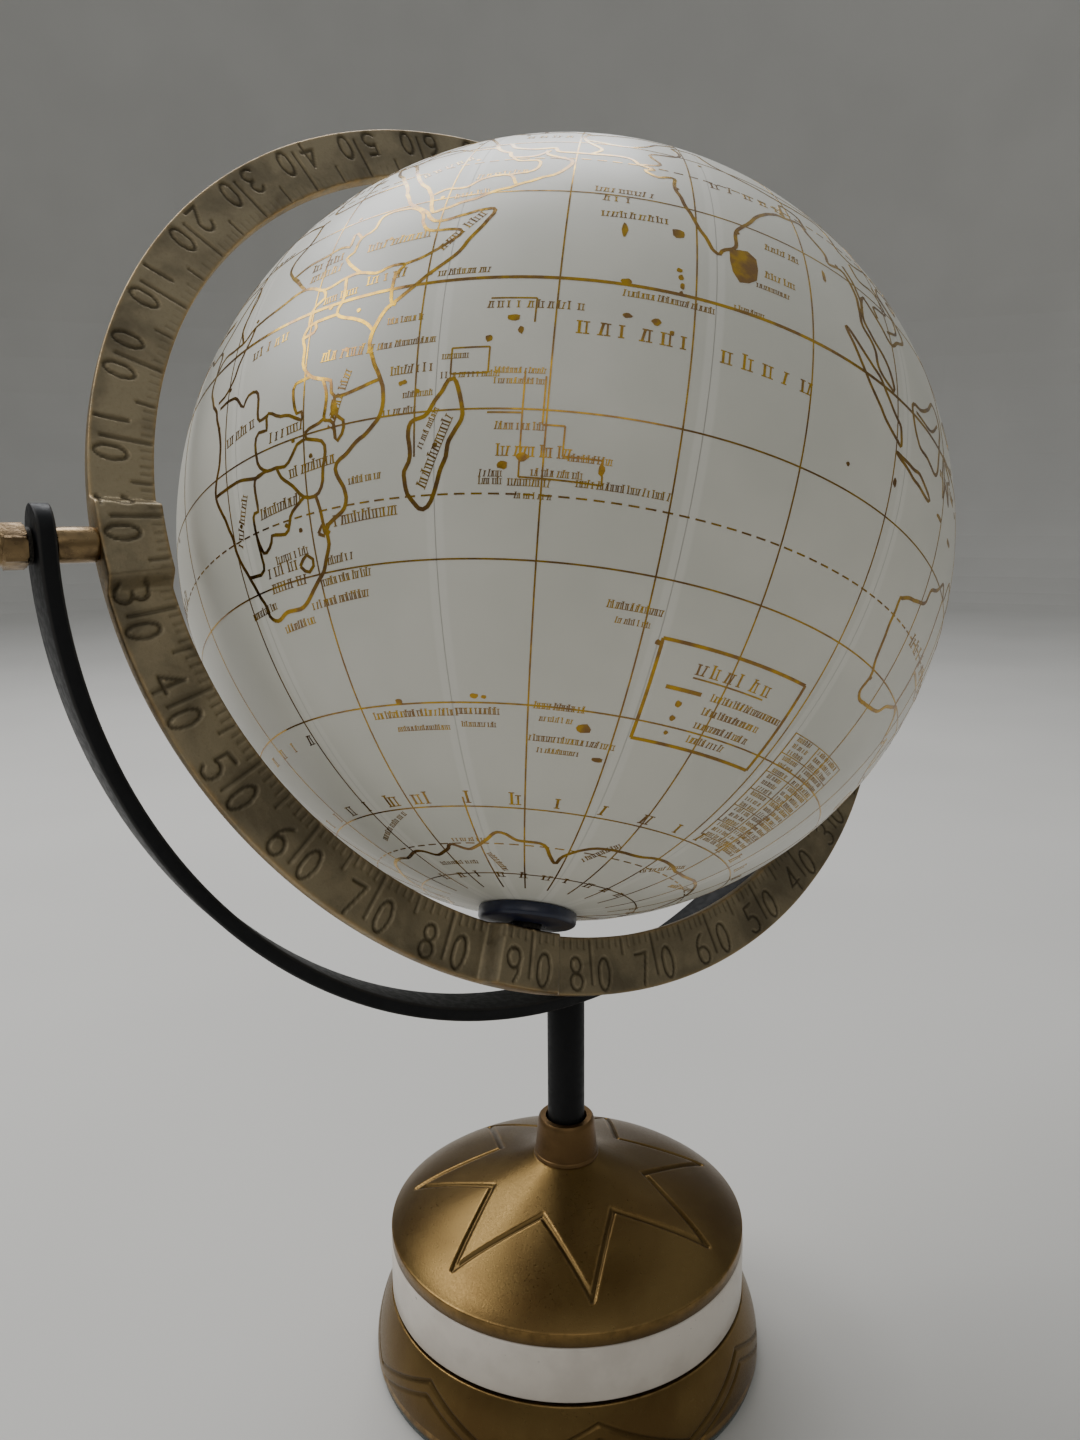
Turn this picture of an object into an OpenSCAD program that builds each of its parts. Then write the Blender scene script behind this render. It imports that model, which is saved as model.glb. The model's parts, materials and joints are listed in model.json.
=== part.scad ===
// Desktop globe: a lacquered ball on a pole rod inside a graduated cast meridian ring,
// which tips in a flat-bar half-ring yoke on a post over a round stepped base.
// Millimetres, +Z up. The origin is the middle of the base's underside,
// X runs along the ring's pivots, and the front of the globe faces -Y.

/* [Ball] */
// Outer diameter of the ball over its printed gores
ball_d = 254; // [180:1:400]
// Wall of each half shell
shell_wall = 2; // [1.2:0.1:4]
// Thickness of the printed gores
gore_t = 0.3; // [0.2:0.05:0.6]
// Number of gores round the ball
gore_count = 12; // [6:1:24]
// Turn of the map about the polar axis at rest, from the front to longitude 0
map_turn = -93.6; // [-180:0.1:180]
// Longitude of the first seam between the gores
first_seam = 17.4; // [0:0.1:60]
// Height of the inner band that joins the two half shells
band_h = 12; // [8:1:30]
// Diameter of the cap disc at each pole
cap_d = 30; // [22:1:50]
// Thickness of the cap discs at their middle, where the pole fittings bear on them
cap_t = 1.8; // [1:0.1:4]
// Thickness of the cap discs round that seat
cap_rim_t = 4; // [1.5:0.1:5]

/* [Pole rod] */
// Diameter of the rod that the ball spins on
rod_d = 4; // [3:0.1:8]
// Outer diameter of the bush hubs in the shell's pole holes
hub_d = 12; // [10:0.5:18]
// Outer diameter of the bush flanges inside the shell
flange_d = 22; // [19:0.5:40]
// Thickness of the bush flanges
flange_t = 3; // [1.5:0.1:6]
// Thickness of the thrust washer that carries the ball at the south pole
thrust_t = 3.2; // [2:0.1:6]
// Outer diameter of the thrust washer and of the north spacer
thrust_d = 9; // [7:0.5:16]

/* [Meridian ring] */
// Gap all round between the ball and the ring, before the ball settles south
ball_gap = 11.2; // [9:0.1:25]
// Radial width of the ring's face
ring_w = 17.8; // [10:0.1:40]
// Thickness of the ring's plate
ring_t = 4.2; // [3:0.1:8]
// Thickness of the ring at its four bored pads
pad_t = 9.8; // [8:0.1:16]
// Length of each pad's flat top, along the ring
pad_len = 19; // [14:0.5:40]
// Length of the ramp at each end of a pad
pad_ramp = 4.5; // [2:0.5:12]
// Lean of the polar axis from the ring's vertical
axis_lean = 22.4; // [10:0.1:35]
// Tip of the ring at rest, top away from the front
ring_tip = 23.3; // [-45:0.1:45]

/* [Pivots] */
// Diameter of the pivot studs
stud_d = 5; // [3:0.1:8]
// Outer diameter of the spacer sleeves between the ring and the yoke
spacer_d = 9.6; // [8:0.1:14]
// Gap between the ring and the yoke, which the spacers fill
spacer_gap = 11.3; // [9.6:0.1:25]
// Outer diameter of the pivot washers
pivot_washer_d = 10; // [8:0.5:16]
// Thickness of the pivot washers
pivot_washer_t = 1.4; // [0.8:0.1:3]
// Size of the pivot cap nuts across their flats
pivot_nut_af = 10.6; // [8:0.1:16]
// Height of the hexagon of the pivot cap nuts
pivot_nut_h = 6; // [4:0.1:10]

/* [Yoke] */
// Width of the yoke's flat bar
yoke_w = 16; // [12:0.5:30]
// Thickness of the yoke's flat bar
yoke_t = 4.8; // [3:0.1:8]
// Height of the middle of the yoke's rounded ends above the pivots
yoke_rise = 3; // [1:0.5:8]

/* [Post] */
// Diameter of the post
post_d = 14; // [12:0.5:24]
// Length of the post between the dome and the yoke
post_len = 63.6; // [45:0.1:120]
// Diameter of the tie rod through the post and base
tie_d = 6; // [4:0.1:8]
// Diameter of the collar's foot
collar_d = 24.8; // [20:0.2:34]
// Diameter of the collar's top
collar_top_d = 21.2; // [19:0.2:32]
// Height of the collar
collar_h = 15.4; // [8:0.1:30]

/* [Base] */
// Diameter of the white disc between the two castings
disc_d = 136.4; // [110:0.2:240]
// Thickness of the white disc
disc_h = 21; // [10:0.5:40]
// Height of the dome's upright lip
lip_h = 5.2; // [2:0.1:10]
// Rise of the dome above its lip
dome_rise = 24.8; // [16:0.2:50]
// Wall of the dome and of the skirt
cast_wall = 4; // [2.5:0.1:6]
// Height of the skirt above the felt
skirt_h = 25.8; // [20:0.1:50]
// How far the skirt spreads outside the white disc
skirt_flare = 6.4; // [3:0.1:20]
// Thickness of the felt pad under the skirt
felt_t = 2.5; // [1:0.1:5]
// Size of the tie rod's nuts across their flats
tie_nut_af = 10; // [9:0.1:13]

/* [Clearances] */
// Radial clearance of a turning fit
run_fit = 0.05; // [0.02:0.01:0.1]
// Radial clearance of the tie rod in its holes
rod_fit = 0.2; // [0.1:0.05:0.6]
// Gap between the post and the collar's bore
collar_fit = 0.6; // [0.2:0.05:1]
// End play on each side of a turning joint
end_play = 0.4; // [0.3:0.05:1]
// Film of glue between bonded faces
glue = 0.05; // [0.02:0.01:0.1]

/* [Hidden] */
GORES = [for (i = [1 : gore_count]) str("gore_", i)];
$fn = 96;

// Colours
antique = "#7a6234";
dark_brass = "#8a6a45";
enamel = "#e9e6e2";
black_iron = "#26272b";
steel = "#8f9296";
navy = "#131a2e";
pearl = "#c9cdca";
felt_green = "#2d3b34";

// Radii of the ball, from its printed face inwards
ball_r = ball_d / 2;
shell_ro = ball_r - gore_t - glue;
shell_ri = shell_ro - shell_wall;
band_ro = shell_ri - glue;
// Gap between the edges of two gores at the equator
gore_gap = 0.1;

// Radii of the ring and the yoke
ring_ri = ball_r + ball_gap;
ring_ro = ring_ri + ring_w;
yoke_ri = ring_ro + spacer_gap;
yoke_ro = yoke_ri + yoke_t;
// Depth of the flat spot that each spacer seats on
spot_depth = 0.4;
// Front and back faces of the ring's plate, from the pivot plane
plate_front = pad_t / 2 - ring_t;
plate_back = pad_t / 2;

// Stack at the poles: the ball rests on the south washer, and the rest of the gap is north
cap_top = ball_r + glue + cap_t;
seat_gap = 0.1;
south_seat = ring_ri - seat_gap - thrust_t;
ball_sag = south_seat - end_play - cap_top;
north_seat = cap_top - ball_sag + end_play;
rod_end = ring_ro - 0.8;

// Outward distances of the pieces on each pivot stud
spacer_in = ring_ro - spot_depth;
spacer_out = yoke_ri - end_play;
washer_in = yoke_ro + end_play;
nut_in = washer_in + pivot_washer_t;
stud_in = ring_ri + 0.6;
stud_out = nut_in + pivot_nut_h + 0.5;

// Heights of the base, from the floor up
skirt_z = felt_t;
disc_z = skirt_z + skirt_h;
dome_z = disc_z + disc_h;
neck_z = dome_z + lip_h + dome_rise;
yoke_z = neck_z + post_len;
pivot_z = yoke_z + yoke_ro;

// Tie rod: its washers and nuts
tie_hole = tie_d + 2 * rod_fit;
base_washer_d = 5 * tie_d;
base_washer_t = 1.6;
base_nut_h = 5;
yoke_washer_d = 12.4;
yoke_washer_t = 1.2;
yoke_nut_h = 4;
yoke_nut_cap = 1.6;
web_under = disc_z - cast_wall;
tie_bottom = web_under - base_washer_t - base_nut_h - 1.5;
// The washer's rim sits on the yoke's hollow face, a little above its lowest line
yoke_seat = pivot_z - sqrt(pow(yoke_ri, 2) - pow(yoke_washer_d / 2, 2));
tie_top = yoke_seat + yoke_washer_t + yoke_nut_h - 0.4;

// Base radii
disc_r = disc_d / 2;
lip_r = disc_r - 0.4;
crease_r = lip_r - 0.3;
neck_r = collar_d / 2 + 0.1;
skirt_top_r = disc_r + 0.2;
skirt_foot_r = disc_r + skirt_flare;
// Shadow groove between the skirt and the white disc
groove_h = 1;
groove_depth = 1.8;
foot_lip = 3;
curve_steps = 24;

// Turned solid between an outer and an inner radius
module tube(ro, ri, h) {
    difference() {
        cylinder(r = ro, h = h);
        translate([0, 0, -1]) cylinder(r = ri, h = h + 2);
    }
}

// Hexagon prism of a given size across flats, its points trimmed by a cone at the top
module hex_nut(af, h) {
    intersection() {
        cylinder(d = af / cos(30), h = h, $fn = 6);
        union() {
            cylinder(d = af / cos(30) + 1, h = h - 1);
            translate([0, 0, h - 1]) cylinder(d1 = af / cos(30) + 1, d2 = af - 1, h = 1);
        }
    }
}

// Point at t on the curve that four control points draw
function curve(p, t) = pow(1 - t, 3) * p[0] + 3 * t * pow(1 - t, 2) * p[1]
    + 3 * t * t * (1 - t) * p[2] + pow(t, 3) * p[3];
function curve_points(p) = [for (i = [0 : curve_steps]) curve(p, i / curve_steps)];

// Places: the ring's frame at the pivots, and the ball's frame on the polar axis
module on_ring() {
    translate([0, 0, pivot_z]) rotate([-ring_tip, 0, 0]) children();
}
module on_poles() {
    on_ring() rotate([0, axis_lean, 0]) children();
}
module on_ball() {
    on_poles() translate([0, 0, -ball_sag]) children();
}
// The same piece at both pivots, its own +Z pointing outwards and its -X pointing up
module at_pivots() {
    for (side = [0, 1]) mirror([side, 0, 0]) rotate([0, 90, 0]) children();
}

module felt_pad() {
    color(felt_green) cylinder(r = skirt_foot_r - 0.8, h = felt_t);
}

module base_skirt() {
    outer = [
        [skirt_top_r, disc_z - groove_h],
        [disc_r + 0.5 * skirt_flare, disc_z - groove_h - 0.2 * skirt_h],
        [skirt_foot_r, skirt_z + 0.45 * skirt_h],
        [skirt_foot_r, skirt_z + foot_lip]
    ];
    color(antique) difference() {
        rotate_extrude() polygon(concat(
            [[0, disc_z], [skirt_top_r - groove_depth, disc_z],
             [skirt_top_r - groove_depth, disc_z - groove_h]],
            curve_points(outer),
            [[skirt_foot_r, skirt_z], [0, skirt_z]]));
        translate([0, 0, skirt_z - 1])
            cylinder(r1 = skirt_foot_r - cast_wall, r2 = skirt_top_r - groove_depth - cast_wall,
                     h = skirt_h - cast_wall + 1);
        translate([0, 0, skirt_z - 1]) cylinder(d = tie_hole, h = skirt_h + 2);
    }
}

module white_disc() {
    edge = 0.5;
    color(enamel) difference() {
        rotate_extrude() polygon([
            [0, disc_z], [disc_r - edge, disc_z], [disc_r, disc_z + edge],
            [disc_r, dome_z - edge], [disc_r - edge, dome_z], [0, dome_z]]);
        translate([0, 0, disc_z - 1]) cylinder(d = tie_hole, h = disc_h + 2);
    }
}

module base_dome() {
    crease_z = dome_z + lip_h;
    outer = [
        [neck_r, neck_z],
        [neck_r + 0.32 * (crease_r - neck_r), neck_z - 0.435 * dome_rise],
        [neck_r + 0.74 * (crease_r - neck_r), neck_z - 0.515 * dome_rise],
        [crease_r, crease_z]
    ];
    boss_r = tie_d / 2 + 6;
    color(antique) difference() {
        rotate_extrude() polygon(concat(
            [[0, neck_z]], curve_points(outer), [[lip_r, crease_z - 0.3], [lip_r, dome_z], [0, dome_z]]));
        // Hollow under the dome, round a boss that takes the tie rod's pull
        difference() {
            translate([0, 0, dome_z - 1])
                cylinder(r1 = lip_r - cast_wall, r2 = neck_r + 6, h = lip_h + 0.45 * dome_rise - cast_wall + 1);
            translate([0, 0, dome_z - 2]) cylinder(r = boss_r, h = dome_rise);
        }
        translate([0, 0, dome_z - 1]) cylinder(d = tie_hole, h = lip_h + dome_rise + 2);
    }
}

module collar() {
    bead_h = 1.6;
    color(dark_brass) difference() {
        union() {
            translate([0, 0, neck_z]) cylinder(d = collar_d, h = bead_h);
            translate([0, 0, neck_z]) cylinder(d1 = collar_d - 1, d2 = collar_top_d, h = collar_h);
        }
        translate([0, 0, neck_z - 1]) cylinder(d = post_d + 2 * collar_fit, h = collar_h + 2);
    }
}

module post() {
    color(black_iron) difference() {
        translate([0, 0, neck_z]) cylinder(d = post_d, h = post_len + yoke_t);
        // Saddle for the yoke's outer face
        translate([0, 0, pivot_z]) rotate([90, 0, 0])
            cylinder(r = yoke_ro, h = 2 * post_d, center = true);
        translate([0, 0, neck_z - 1]) cylinder(d = tie_hole, h = post_len + yoke_t + 2);
    }
}

module tie_rod() {
    color(steel) translate([0, 0, tie_bottom]) cylinder(d = tie_d, h = tie_top - tie_bottom);
}

module base_washer() {
    color(steel) translate([0, 0, web_under - base_washer_t])
        tube(base_washer_d / 2, tie_hole / 2, base_washer_t);
}

module base_nut() {
    color(steel) translate([0, 0, web_under - base_washer_t]) mirror([0, 0, 1]) difference() {
        hex_nut(tie_nut_af, base_nut_h);
        translate([0, 0, -1]) cylinder(d = tie_d, h = base_nut_h + 2);
    }
}

module yoke() {
    color(black_iron) difference() {
        translate([0, 0, pivot_z]) union() {
            // Half ring below the pivots
            intersection() {
                rotate([90, 0, 0]) difference() {
                    cylinder(r = yoke_ro, h = yoke_w, center = true);
                    cylinder(r = yoke_ri, h = yoke_w + 2, center = true);
                }
                translate([-2 * yoke_ro, -yoke_w, -2 * yoke_ro])
                    cube([4 * yoke_ro, 2 * yoke_w, 2 * yoke_ro]);
            }
            // Straight ends with round tips
            at_pivots() translate([0, 0, yoke_ri]) tip();
        }
        translate([0, 0, pivot_z]) at_pivots() translate([0, 0, yoke_ri - 2])
            cylinder(d = stud_d + 2 * run_fit, h = yoke_t + 4);
        translate([0, 0, yoke_z - 1]) cylinder(d = tie_hole, h = yoke_t + 2);
    }
}

// Round end of the yoke, lying flat: its local -X points up once it is placed
module tip() {
    intersection() {
        union() {
            translate([-yoke_rise, 0, 0]) cylinder(d = yoke_w, h = yoke_t);
            translate([-yoke_rise, -yoke_w / 2, 0]) cube([yoke_rise, yoke_w, yoke_t]);
        }
        translate([-2 * yoke_w, -yoke_w, 0]) cube([2 * yoke_w, 2 * yoke_w, yoke_t]);
    }
}

module yoke_washer() {
    color(steel) translate([0, 0, yoke_seat]) tube(yoke_washer_d / 2, tie_hole / 2, yoke_washer_t);
}

module yoke_cap_nut() {
    color(black_iron) translate([0, 0, yoke_seat + yoke_washer_t]) difference() {
        union() {
            hex_nut(tie_nut_af, yoke_nut_h);
            translate([0, 0, yoke_nut_h])
                cylinder(d1 = tie_nut_af - 1.6, d2 = tie_nut_af - 4.5, h = yoke_nut_cap);
        }
        translate([0, 0, -1]) cylinder(d = tie_d, h = yoke_nut_h + 0.6);
    }
}

// Blank of one thick pad, centred on the ring's local +X and reaching forward of its plate
module pad() {
    half_top = pad_len / 2;
    half_foot = half_top + pad_ramp;
    translate([ring_ri - 5, 0, 0]) rotate([90, 0, 90]) linear_extrude(height = ring_w + 10) polygon([
        [plate_back, -half_foot], [plate_front, -half_foot], [-pad_t / 2, -half_top],
        [-pad_t / 2, half_top], [plate_front, half_foot], [plate_back, half_foot]]);
}

module meridian_ring() {
    bore_from = ring_ri - 2;
    bore_len = ring_w + 4;
    color(antique) on_ring() difference() {
        intersection() {
            union() {
                translate([0, plate_back, 0]) rotate([90, 0, 0]) cylinder(r = ring_ro + 4, h = ring_t);
                for (turn = [0, 180, axis_lean - 90, axis_lean + 90]) rotate([0, turn, 0]) pad();
            }
            rotate([90, 0, 0]) cylinder(r = ring_ro, h = 2 * pad_t, center = true);
        }
        rotate([90, 0, 0]) cylinder(r = ring_ri, h = 2 * pad_t, center = true);
        at_pivots() {
            translate([0, 0, bore_from]) cylinder(d = stud_d, h = bore_len);
            translate([0, 0, ring_ro - spot_depth]) cylinder(d = spacer_d + 0.4, h = spot_depth + 2);
        }
        for (pole = [0, 180]) rotate([0, axis_lean + pole, 0])
            translate([0, 0, bore_from]) cylinder(d = rod_d, h = bore_len);
    }
}

module pivot_studs() {
    color(steel) on_ring() at_pivots()
        translate([0, 0, stud_in]) cylinder(d = stud_d, h = stud_out - stud_in);
}

module pivot_spacers() {
    color(dark_brass) on_ring() at_pivots()
        translate([0, 0, spacer_in]) tube(spacer_d / 2, stud_d / 2, spacer_out - spacer_in);
}

module pivot_washers() {
    color(black_iron) on_ring() at_pivots()
        translate([0, 0, washer_in]) tube(pivot_washer_d / 2, stud_d / 2, pivot_washer_t);
}

module pivot_nuts() {
    dome_r = pivot_nut_af / 2 - 0.4;
    dome_h = 4.2;
    // Radius of the ball that rises dome_h over a circle of dome_r
    cap_r = (dome_r * dome_r + dome_h * dome_h) / (2 * dome_h);
    color(dark_brass) on_ring() at_pivots() translate([0, 0, nut_in]) difference() {
        union() {
            hex_nut(pivot_nut_af, pivot_nut_h);
            intersection() {
                translate([0, 0, pivot_nut_h + dome_h - cap_r]) sphere(r = cap_r);
                translate([0, 0, pivot_nut_h - 0.5]) cylinder(r = dome_r, h = dome_h + 2);
            }
        }
        translate([0, 0, -1]) cylinder(d = stud_d, h = pivot_nut_h + 2);
    }
}

module pole_rod() {
    color(steel) on_poles() translate([0, 0, -rod_end]) cylinder(d = rod_d, h = 2 * rod_end);
}

module thrust_washer() {
    color(steel) on_poles() translate([0, 0, -south_seat - thrust_t])
        tube(thrust_d / 2, rod_d / 2, thrust_t);
}

module north_spacer() {
    color(dark_brass) on_poles() translate([0, 0, north_seat])
        tube(thrust_d / 2, rod_d / 2, ring_ri - seat_gap - north_seat);
}

// Half of the ball's wall on one side of the equator, with a round hole at its pole
module half_shell(ro, ri, pole_hole) {
    rotate_extrude() difference() {
        intersection() {
            difference() {
                circle(r = ro);
                circle(r = ri);
            }
            square([ro + 1, ro + 1]);
        }
        translate([-1, 0]) square([pole_hole + 1, ro + 1]);
    }
}

module shell_north() {
    color(pearl) on_ball() half_shell(shell_ro, shell_ri, hub_d / 2);
}

module shell_south() {
    color(pearl) on_ball() mirror([0, 0, 1]) half_shell(shell_ro, shell_ri, hub_d / 2);
}

module equator_band() {
    color(pearl) on_ball() rotate_extrude() intersection() {
        difference() {
            circle(r = band_ro);
            circle(r = band_ro - shell_wall);
        }
        translate([0, -band_h / 2]) square([ball_r, band_h]);
    }
}

// Bush in a shell's pole hole: a hub as thick as the wall, over a flange bonded inside the shell
module bush() {
    rotate_extrude() difference() {
        union() {
            intersection() {
                difference() {
                    circle(r = shell_ri - glue);
                    circle(r = shell_ri - glue - flange_t);
                }
                square([flange_d / 2, ball_r]);
            }
            intersection() {
                difference() {
                    circle(r = shell_ro);
                    circle(r = shell_ri - flange_t);
                }
                square([hub_d / 2 - glue, ball_r]);
            }
        }
        square([rod_d / 2 + run_fit, ball_r + 1]);
    }
}

module bush_north() {
    color(steel) on_ball() bush();
}

module bush_south() {
    color(steel) on_ball() mirror([0, 0, 1]) bush();
}

// Dished disc over the ball's pole
module cap() {
    high = ball_r + cap_rim_t + 1;
    rotate_extrude() difference() {
        intersection() {
            difference() {
                circle(r = ball_r + glue + cap_rim_t);
                circle(r = ball_r + glue);
            }
            square([cap_d / 2, high]);
        }
        square([rod_d / 2 + 0.5, high]);
        difference() {
            square([thrust_d / 2 + 1, high]);
            circle(r = ball_r + glue + cap_t);
        }
    }
}

module cap_north() {
    color(navy) on_ball() cap();
}

module cap_south() {
    color(navy) on_ball() mirror([0, 0, 1]) cap();
}

// One printed gore, a thin lune between two meridians; gore 1 starts at the first seam's longitude
module gore(i) {
    step = 360 / gore_count;
    gap = gore_gap / ball_r * 180 / PI;
    color(pearl) on_ball() rotate([0, 0, map_turn + first_seam - 90 + (i - 1) * step + gap / 2])
        rotate_extrude(angle = step - gap) intersection() {
            difference() {
                circle(r = ball_r);
                circle(r = ball_r - gore_t);
            }
            translate([hub_d / 2 + 0.5, -ball_r - 1]) square([ball_r, 2 * ball_r + 2]);
        }
}

felt_pad();
base_skirt();
white_disc();
base_dome();
collar();
post();
tie_rod();
base_washer();
base_nut();
yoke();
yoke_washer();
yoke_cap_nut();
meridian_ring();
pivot_studs();
pivot_spacers();
pivot_washers();
pivot_nuts();
pole_rod();
thrust_washer();
north_spacer();
shell_north();
shell_south();
equator_band();
bush_north();
bush_south();
cap_north();
cap_south();
for (i = [1 : gore_count]) gore(i);
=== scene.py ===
"""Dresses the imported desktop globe: its foil map, brass ring, black yoke, turned base and studio."""

import json

import bpy
import numpy as np
from mathutils import Matrix, Vector


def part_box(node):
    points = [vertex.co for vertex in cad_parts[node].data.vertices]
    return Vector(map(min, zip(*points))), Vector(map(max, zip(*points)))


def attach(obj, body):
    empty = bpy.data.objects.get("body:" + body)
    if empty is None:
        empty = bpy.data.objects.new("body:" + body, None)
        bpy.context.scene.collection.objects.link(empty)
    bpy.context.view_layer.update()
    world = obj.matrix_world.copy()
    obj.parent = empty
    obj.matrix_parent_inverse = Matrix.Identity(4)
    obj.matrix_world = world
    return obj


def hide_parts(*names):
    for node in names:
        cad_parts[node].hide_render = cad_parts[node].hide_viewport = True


bl_info = {
    "name": "Desktop Globe Dresser",
    "version": (1, 0, 0),
    "blender": (4, 5, 0),
    "location": "View3D > Sidebar > Globe",
    "description": "Dresses a desktop globe: foil map, stamped meridian ring, yoke, turned base and studio",
    "category": "Object",
}

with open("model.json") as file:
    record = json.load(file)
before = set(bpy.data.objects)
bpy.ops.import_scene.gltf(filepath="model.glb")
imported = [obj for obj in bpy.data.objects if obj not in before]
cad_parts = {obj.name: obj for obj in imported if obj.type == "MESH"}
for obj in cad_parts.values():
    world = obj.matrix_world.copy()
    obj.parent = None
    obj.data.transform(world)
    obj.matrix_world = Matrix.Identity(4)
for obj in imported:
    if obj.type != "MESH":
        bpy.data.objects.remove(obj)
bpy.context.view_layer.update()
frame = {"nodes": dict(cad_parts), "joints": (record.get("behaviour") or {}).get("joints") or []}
MM = 0.001
FULL = 2 * np.pi


# ---- Places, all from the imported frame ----

def span(*nodes):
    """Lowest and highest corner of the box round several CAD nodes, in metres."""
    corners = np.array([[tuple(corner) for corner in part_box(node)] for node in nodes])
    return corners[:, 0].min(0), corners[:, 1].max(0)


SPIN = next(joint for joint in frame["joints"] if joint["name"] == "globe_spin")
GORES = ["gore_%d" % number for number in range(1, 13)]
PIVOT = np.array(SPIN["pos_m"], float)
POLE = np.array(SPIN["axis"], float) / np.linalg.norm(SPIN["axis"])
RIGHT = np.array([1.0, 0.0, 0.0])
TIP = np.arctan2(POLE[1], POLE[2])
LEAN = np.arcsin(POLE[0])
RING_UP = np.array([0.0, np.sin(TIP), np.cos(TIP)])
RING_FRONT = np.cross(RIGHT, RING_UP)
EAST = np.cross(POLE, RING_FRONT)
BALL_LO, BALL_HI = span(*GORES)
BALL = (BALL_LO + BALL_HI) / 2
BALL_R = round(float((BALL_HI - BALL_LO).max()) / 2, 4)
RING_RO = float(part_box("meridian_ring")[1].x)
RING_RI = RING_RO - 17.8 * MM  # the ring's face is 17.8 mm broad
NECK_Z = float(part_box("base_dome")[1].z)
DOME_Z = float(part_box("base_dome")[0].z)
DISC_Z = float(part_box("white_disc")[0].z)
SKIRT_Z = float(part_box("base_skirt")[0].z)
DISC_R = float(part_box("white_disc")[1].x)
LIP_R = float(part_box("base_dome")[1].x)
FOOT_R = float(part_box("base_skirt")[1].x)
COLLAR_R = float(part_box("collar")[1].x)
YOKE_RO = float(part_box("yoke")[1].x)
YOKE_HALF = float(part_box("yoke")[1].y)
ROD_HOLE_R = 3.2  # mm, of the tie rod's hole in the base and the post
BASE_STEPS = 640  # steps round the dome and the skirt, fine enough for their cut lines
FOIL_SUNK_R = BALL_R - 0.1 * MM  # the foil's underside, just inside the paper
WORLD = (np.zeros(3), np.eye(3))
BALL_FRAME = (BALL, np.array([RING_FRONT, EAST, POLE]))
RING_FRAME = (PIVOT, np.array([RIGHT, -RING_FRONT, RING_UP]))


# ---- Settings shown in the sidebar ----

def linear(code):
    """Linear RGB of an sRGB hex code: dark channels over 12.92, the others by the 2.4 power curve."""
    channel = np.array([int(code[i:i + 2], 16) for i in (1, 3, 5)]) / 255
    curved = ((channel + 0.055) / 1.055) ** 2.4
    return tuple(np.where(channel <= 0.04045, channel / 12.92, curved).tolist())


def length(name, value_mm, description):
    """A length setting, given in millimetres and kept in metres."""
    return bpy.props.FloatProperty(
        name=name, description=description, default=value_mm * MM, unit="LENGTH", precision=5)


def angle(name, degrees, description):
    """An angle setting, given in degrees."""
    return bpy.props.FloatProperty(
        name=name, description=description, default=np.radians(degrees), unit="ROTATION")


def colour(name, code, description):
    """A colour setting, given as an sRGB hex code."""
    return bpy.props.FloatVectorProperty(
        name=name, description=description, default=linear(code), subtype="COLOR", size=3)


class GlobeMapSettings(bpy.types.PropertyGroup):
    """The printed map."""

    turn: angle("Map turn", -93.6, "Turn of longitude 0 from the ring's front, about the polar axis")
    first_seam: angle("First seam", 17.4, "Longitude of the seam where gore 1 starts")
    coast: length("Coast line", 1.05, "Width of the foil along coasts")
    border: length("Border line", 0.9, "Width of the foil along borders")
    grid: length("Grid line", 0.42, "Width of meridians and parallels")
    equator: length("Equator line", 0.9, "Width of the equator")
    foil: length("Foil height", 0.06, "Height of the foil above the paper")
    lacquer: colour("Map ground", "#dedcd0", "Pearl grey ground under the lacquer")
    foil_gold: colour("Foil", "#ba9430", "Gold of the printed lines")


class GlobeMetalSettings(bpy.types.PropertyGroup):
    """The cast ring, the yoke and the base."""

    stamp_depth: length("Stamp depth", 0.55, "Depth of the stamped numbers and ten-degree marks")
    stamp_width: length("Stamp width", 1.5, "Width of the stamped strokes")
    star_depth: length("Star depth", 0.9, "Depth of the star cut into the dome")
    star_width: length("Star width", 2.3, "Width of the star's groove")
    brass: colour("Brass", "#755f39", "Body tone of the antique brass")
    worn_brass: colour("Worn brass", "#b8935a", "Rubbed edges of the antique brass")
    iron: colour("Iron paint", "#0f1012", "Satin black of the yoke and post")
    enamel: colour("Enamel", "#e2d9cc", "Warm white of the disc")
    navy: colour("Cap paint", "#0b1530", "Navy of the pole caps")


class GlobeStudioSettings(bpy.types.PropertyGroup):
    """The camera, the floor and the light."""

    stand_off: length("Stand-off", 391.6, "Distance of the camera from the pivots' middle")
    swing: angle("Swing", 36.64, "Turn of the camera round to the left of the front")
    rise: angle("Rise", 1.28, "Height of the camera above the pivots, as an angle")
    heading: angle("Heading", 35.33, "Direction that the camera looks in, from +Y towards +X")
    pitch: angle("Pitch", -10.8, "Camera's look up or down")
    roll: angle("Roll", -0.42, "Camera's roll")
    lens: bpy.props.FloatProperty(
        name="Lens", description="Focal length on a 36 mm tall frame, in mm", default=27.79)
    floor: colour("Floor", "#c8c6c1", "Pale studio floor")
    sky: colour("Sky", "#b9bcbe", "Soft light all round")


def settings(part):
    """The scene's settings group of that part: map, metal or studio."""
    return getattr(bpy.context.scene, "globe_" + part)


# ---- Mesh making ----

def placed(points, place):
    """Points in a place's own axes, moved into the row frame: origin + x*X + y*Y + z*Z."""
    origin, axes = place
    return origin + points @ axes


def unit(vectors):
    """Vectors scaled to length 1 along their last axis."""
    return vectors / np.linalg.norm(vectors, axis=-1, keepdims=True)


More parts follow.
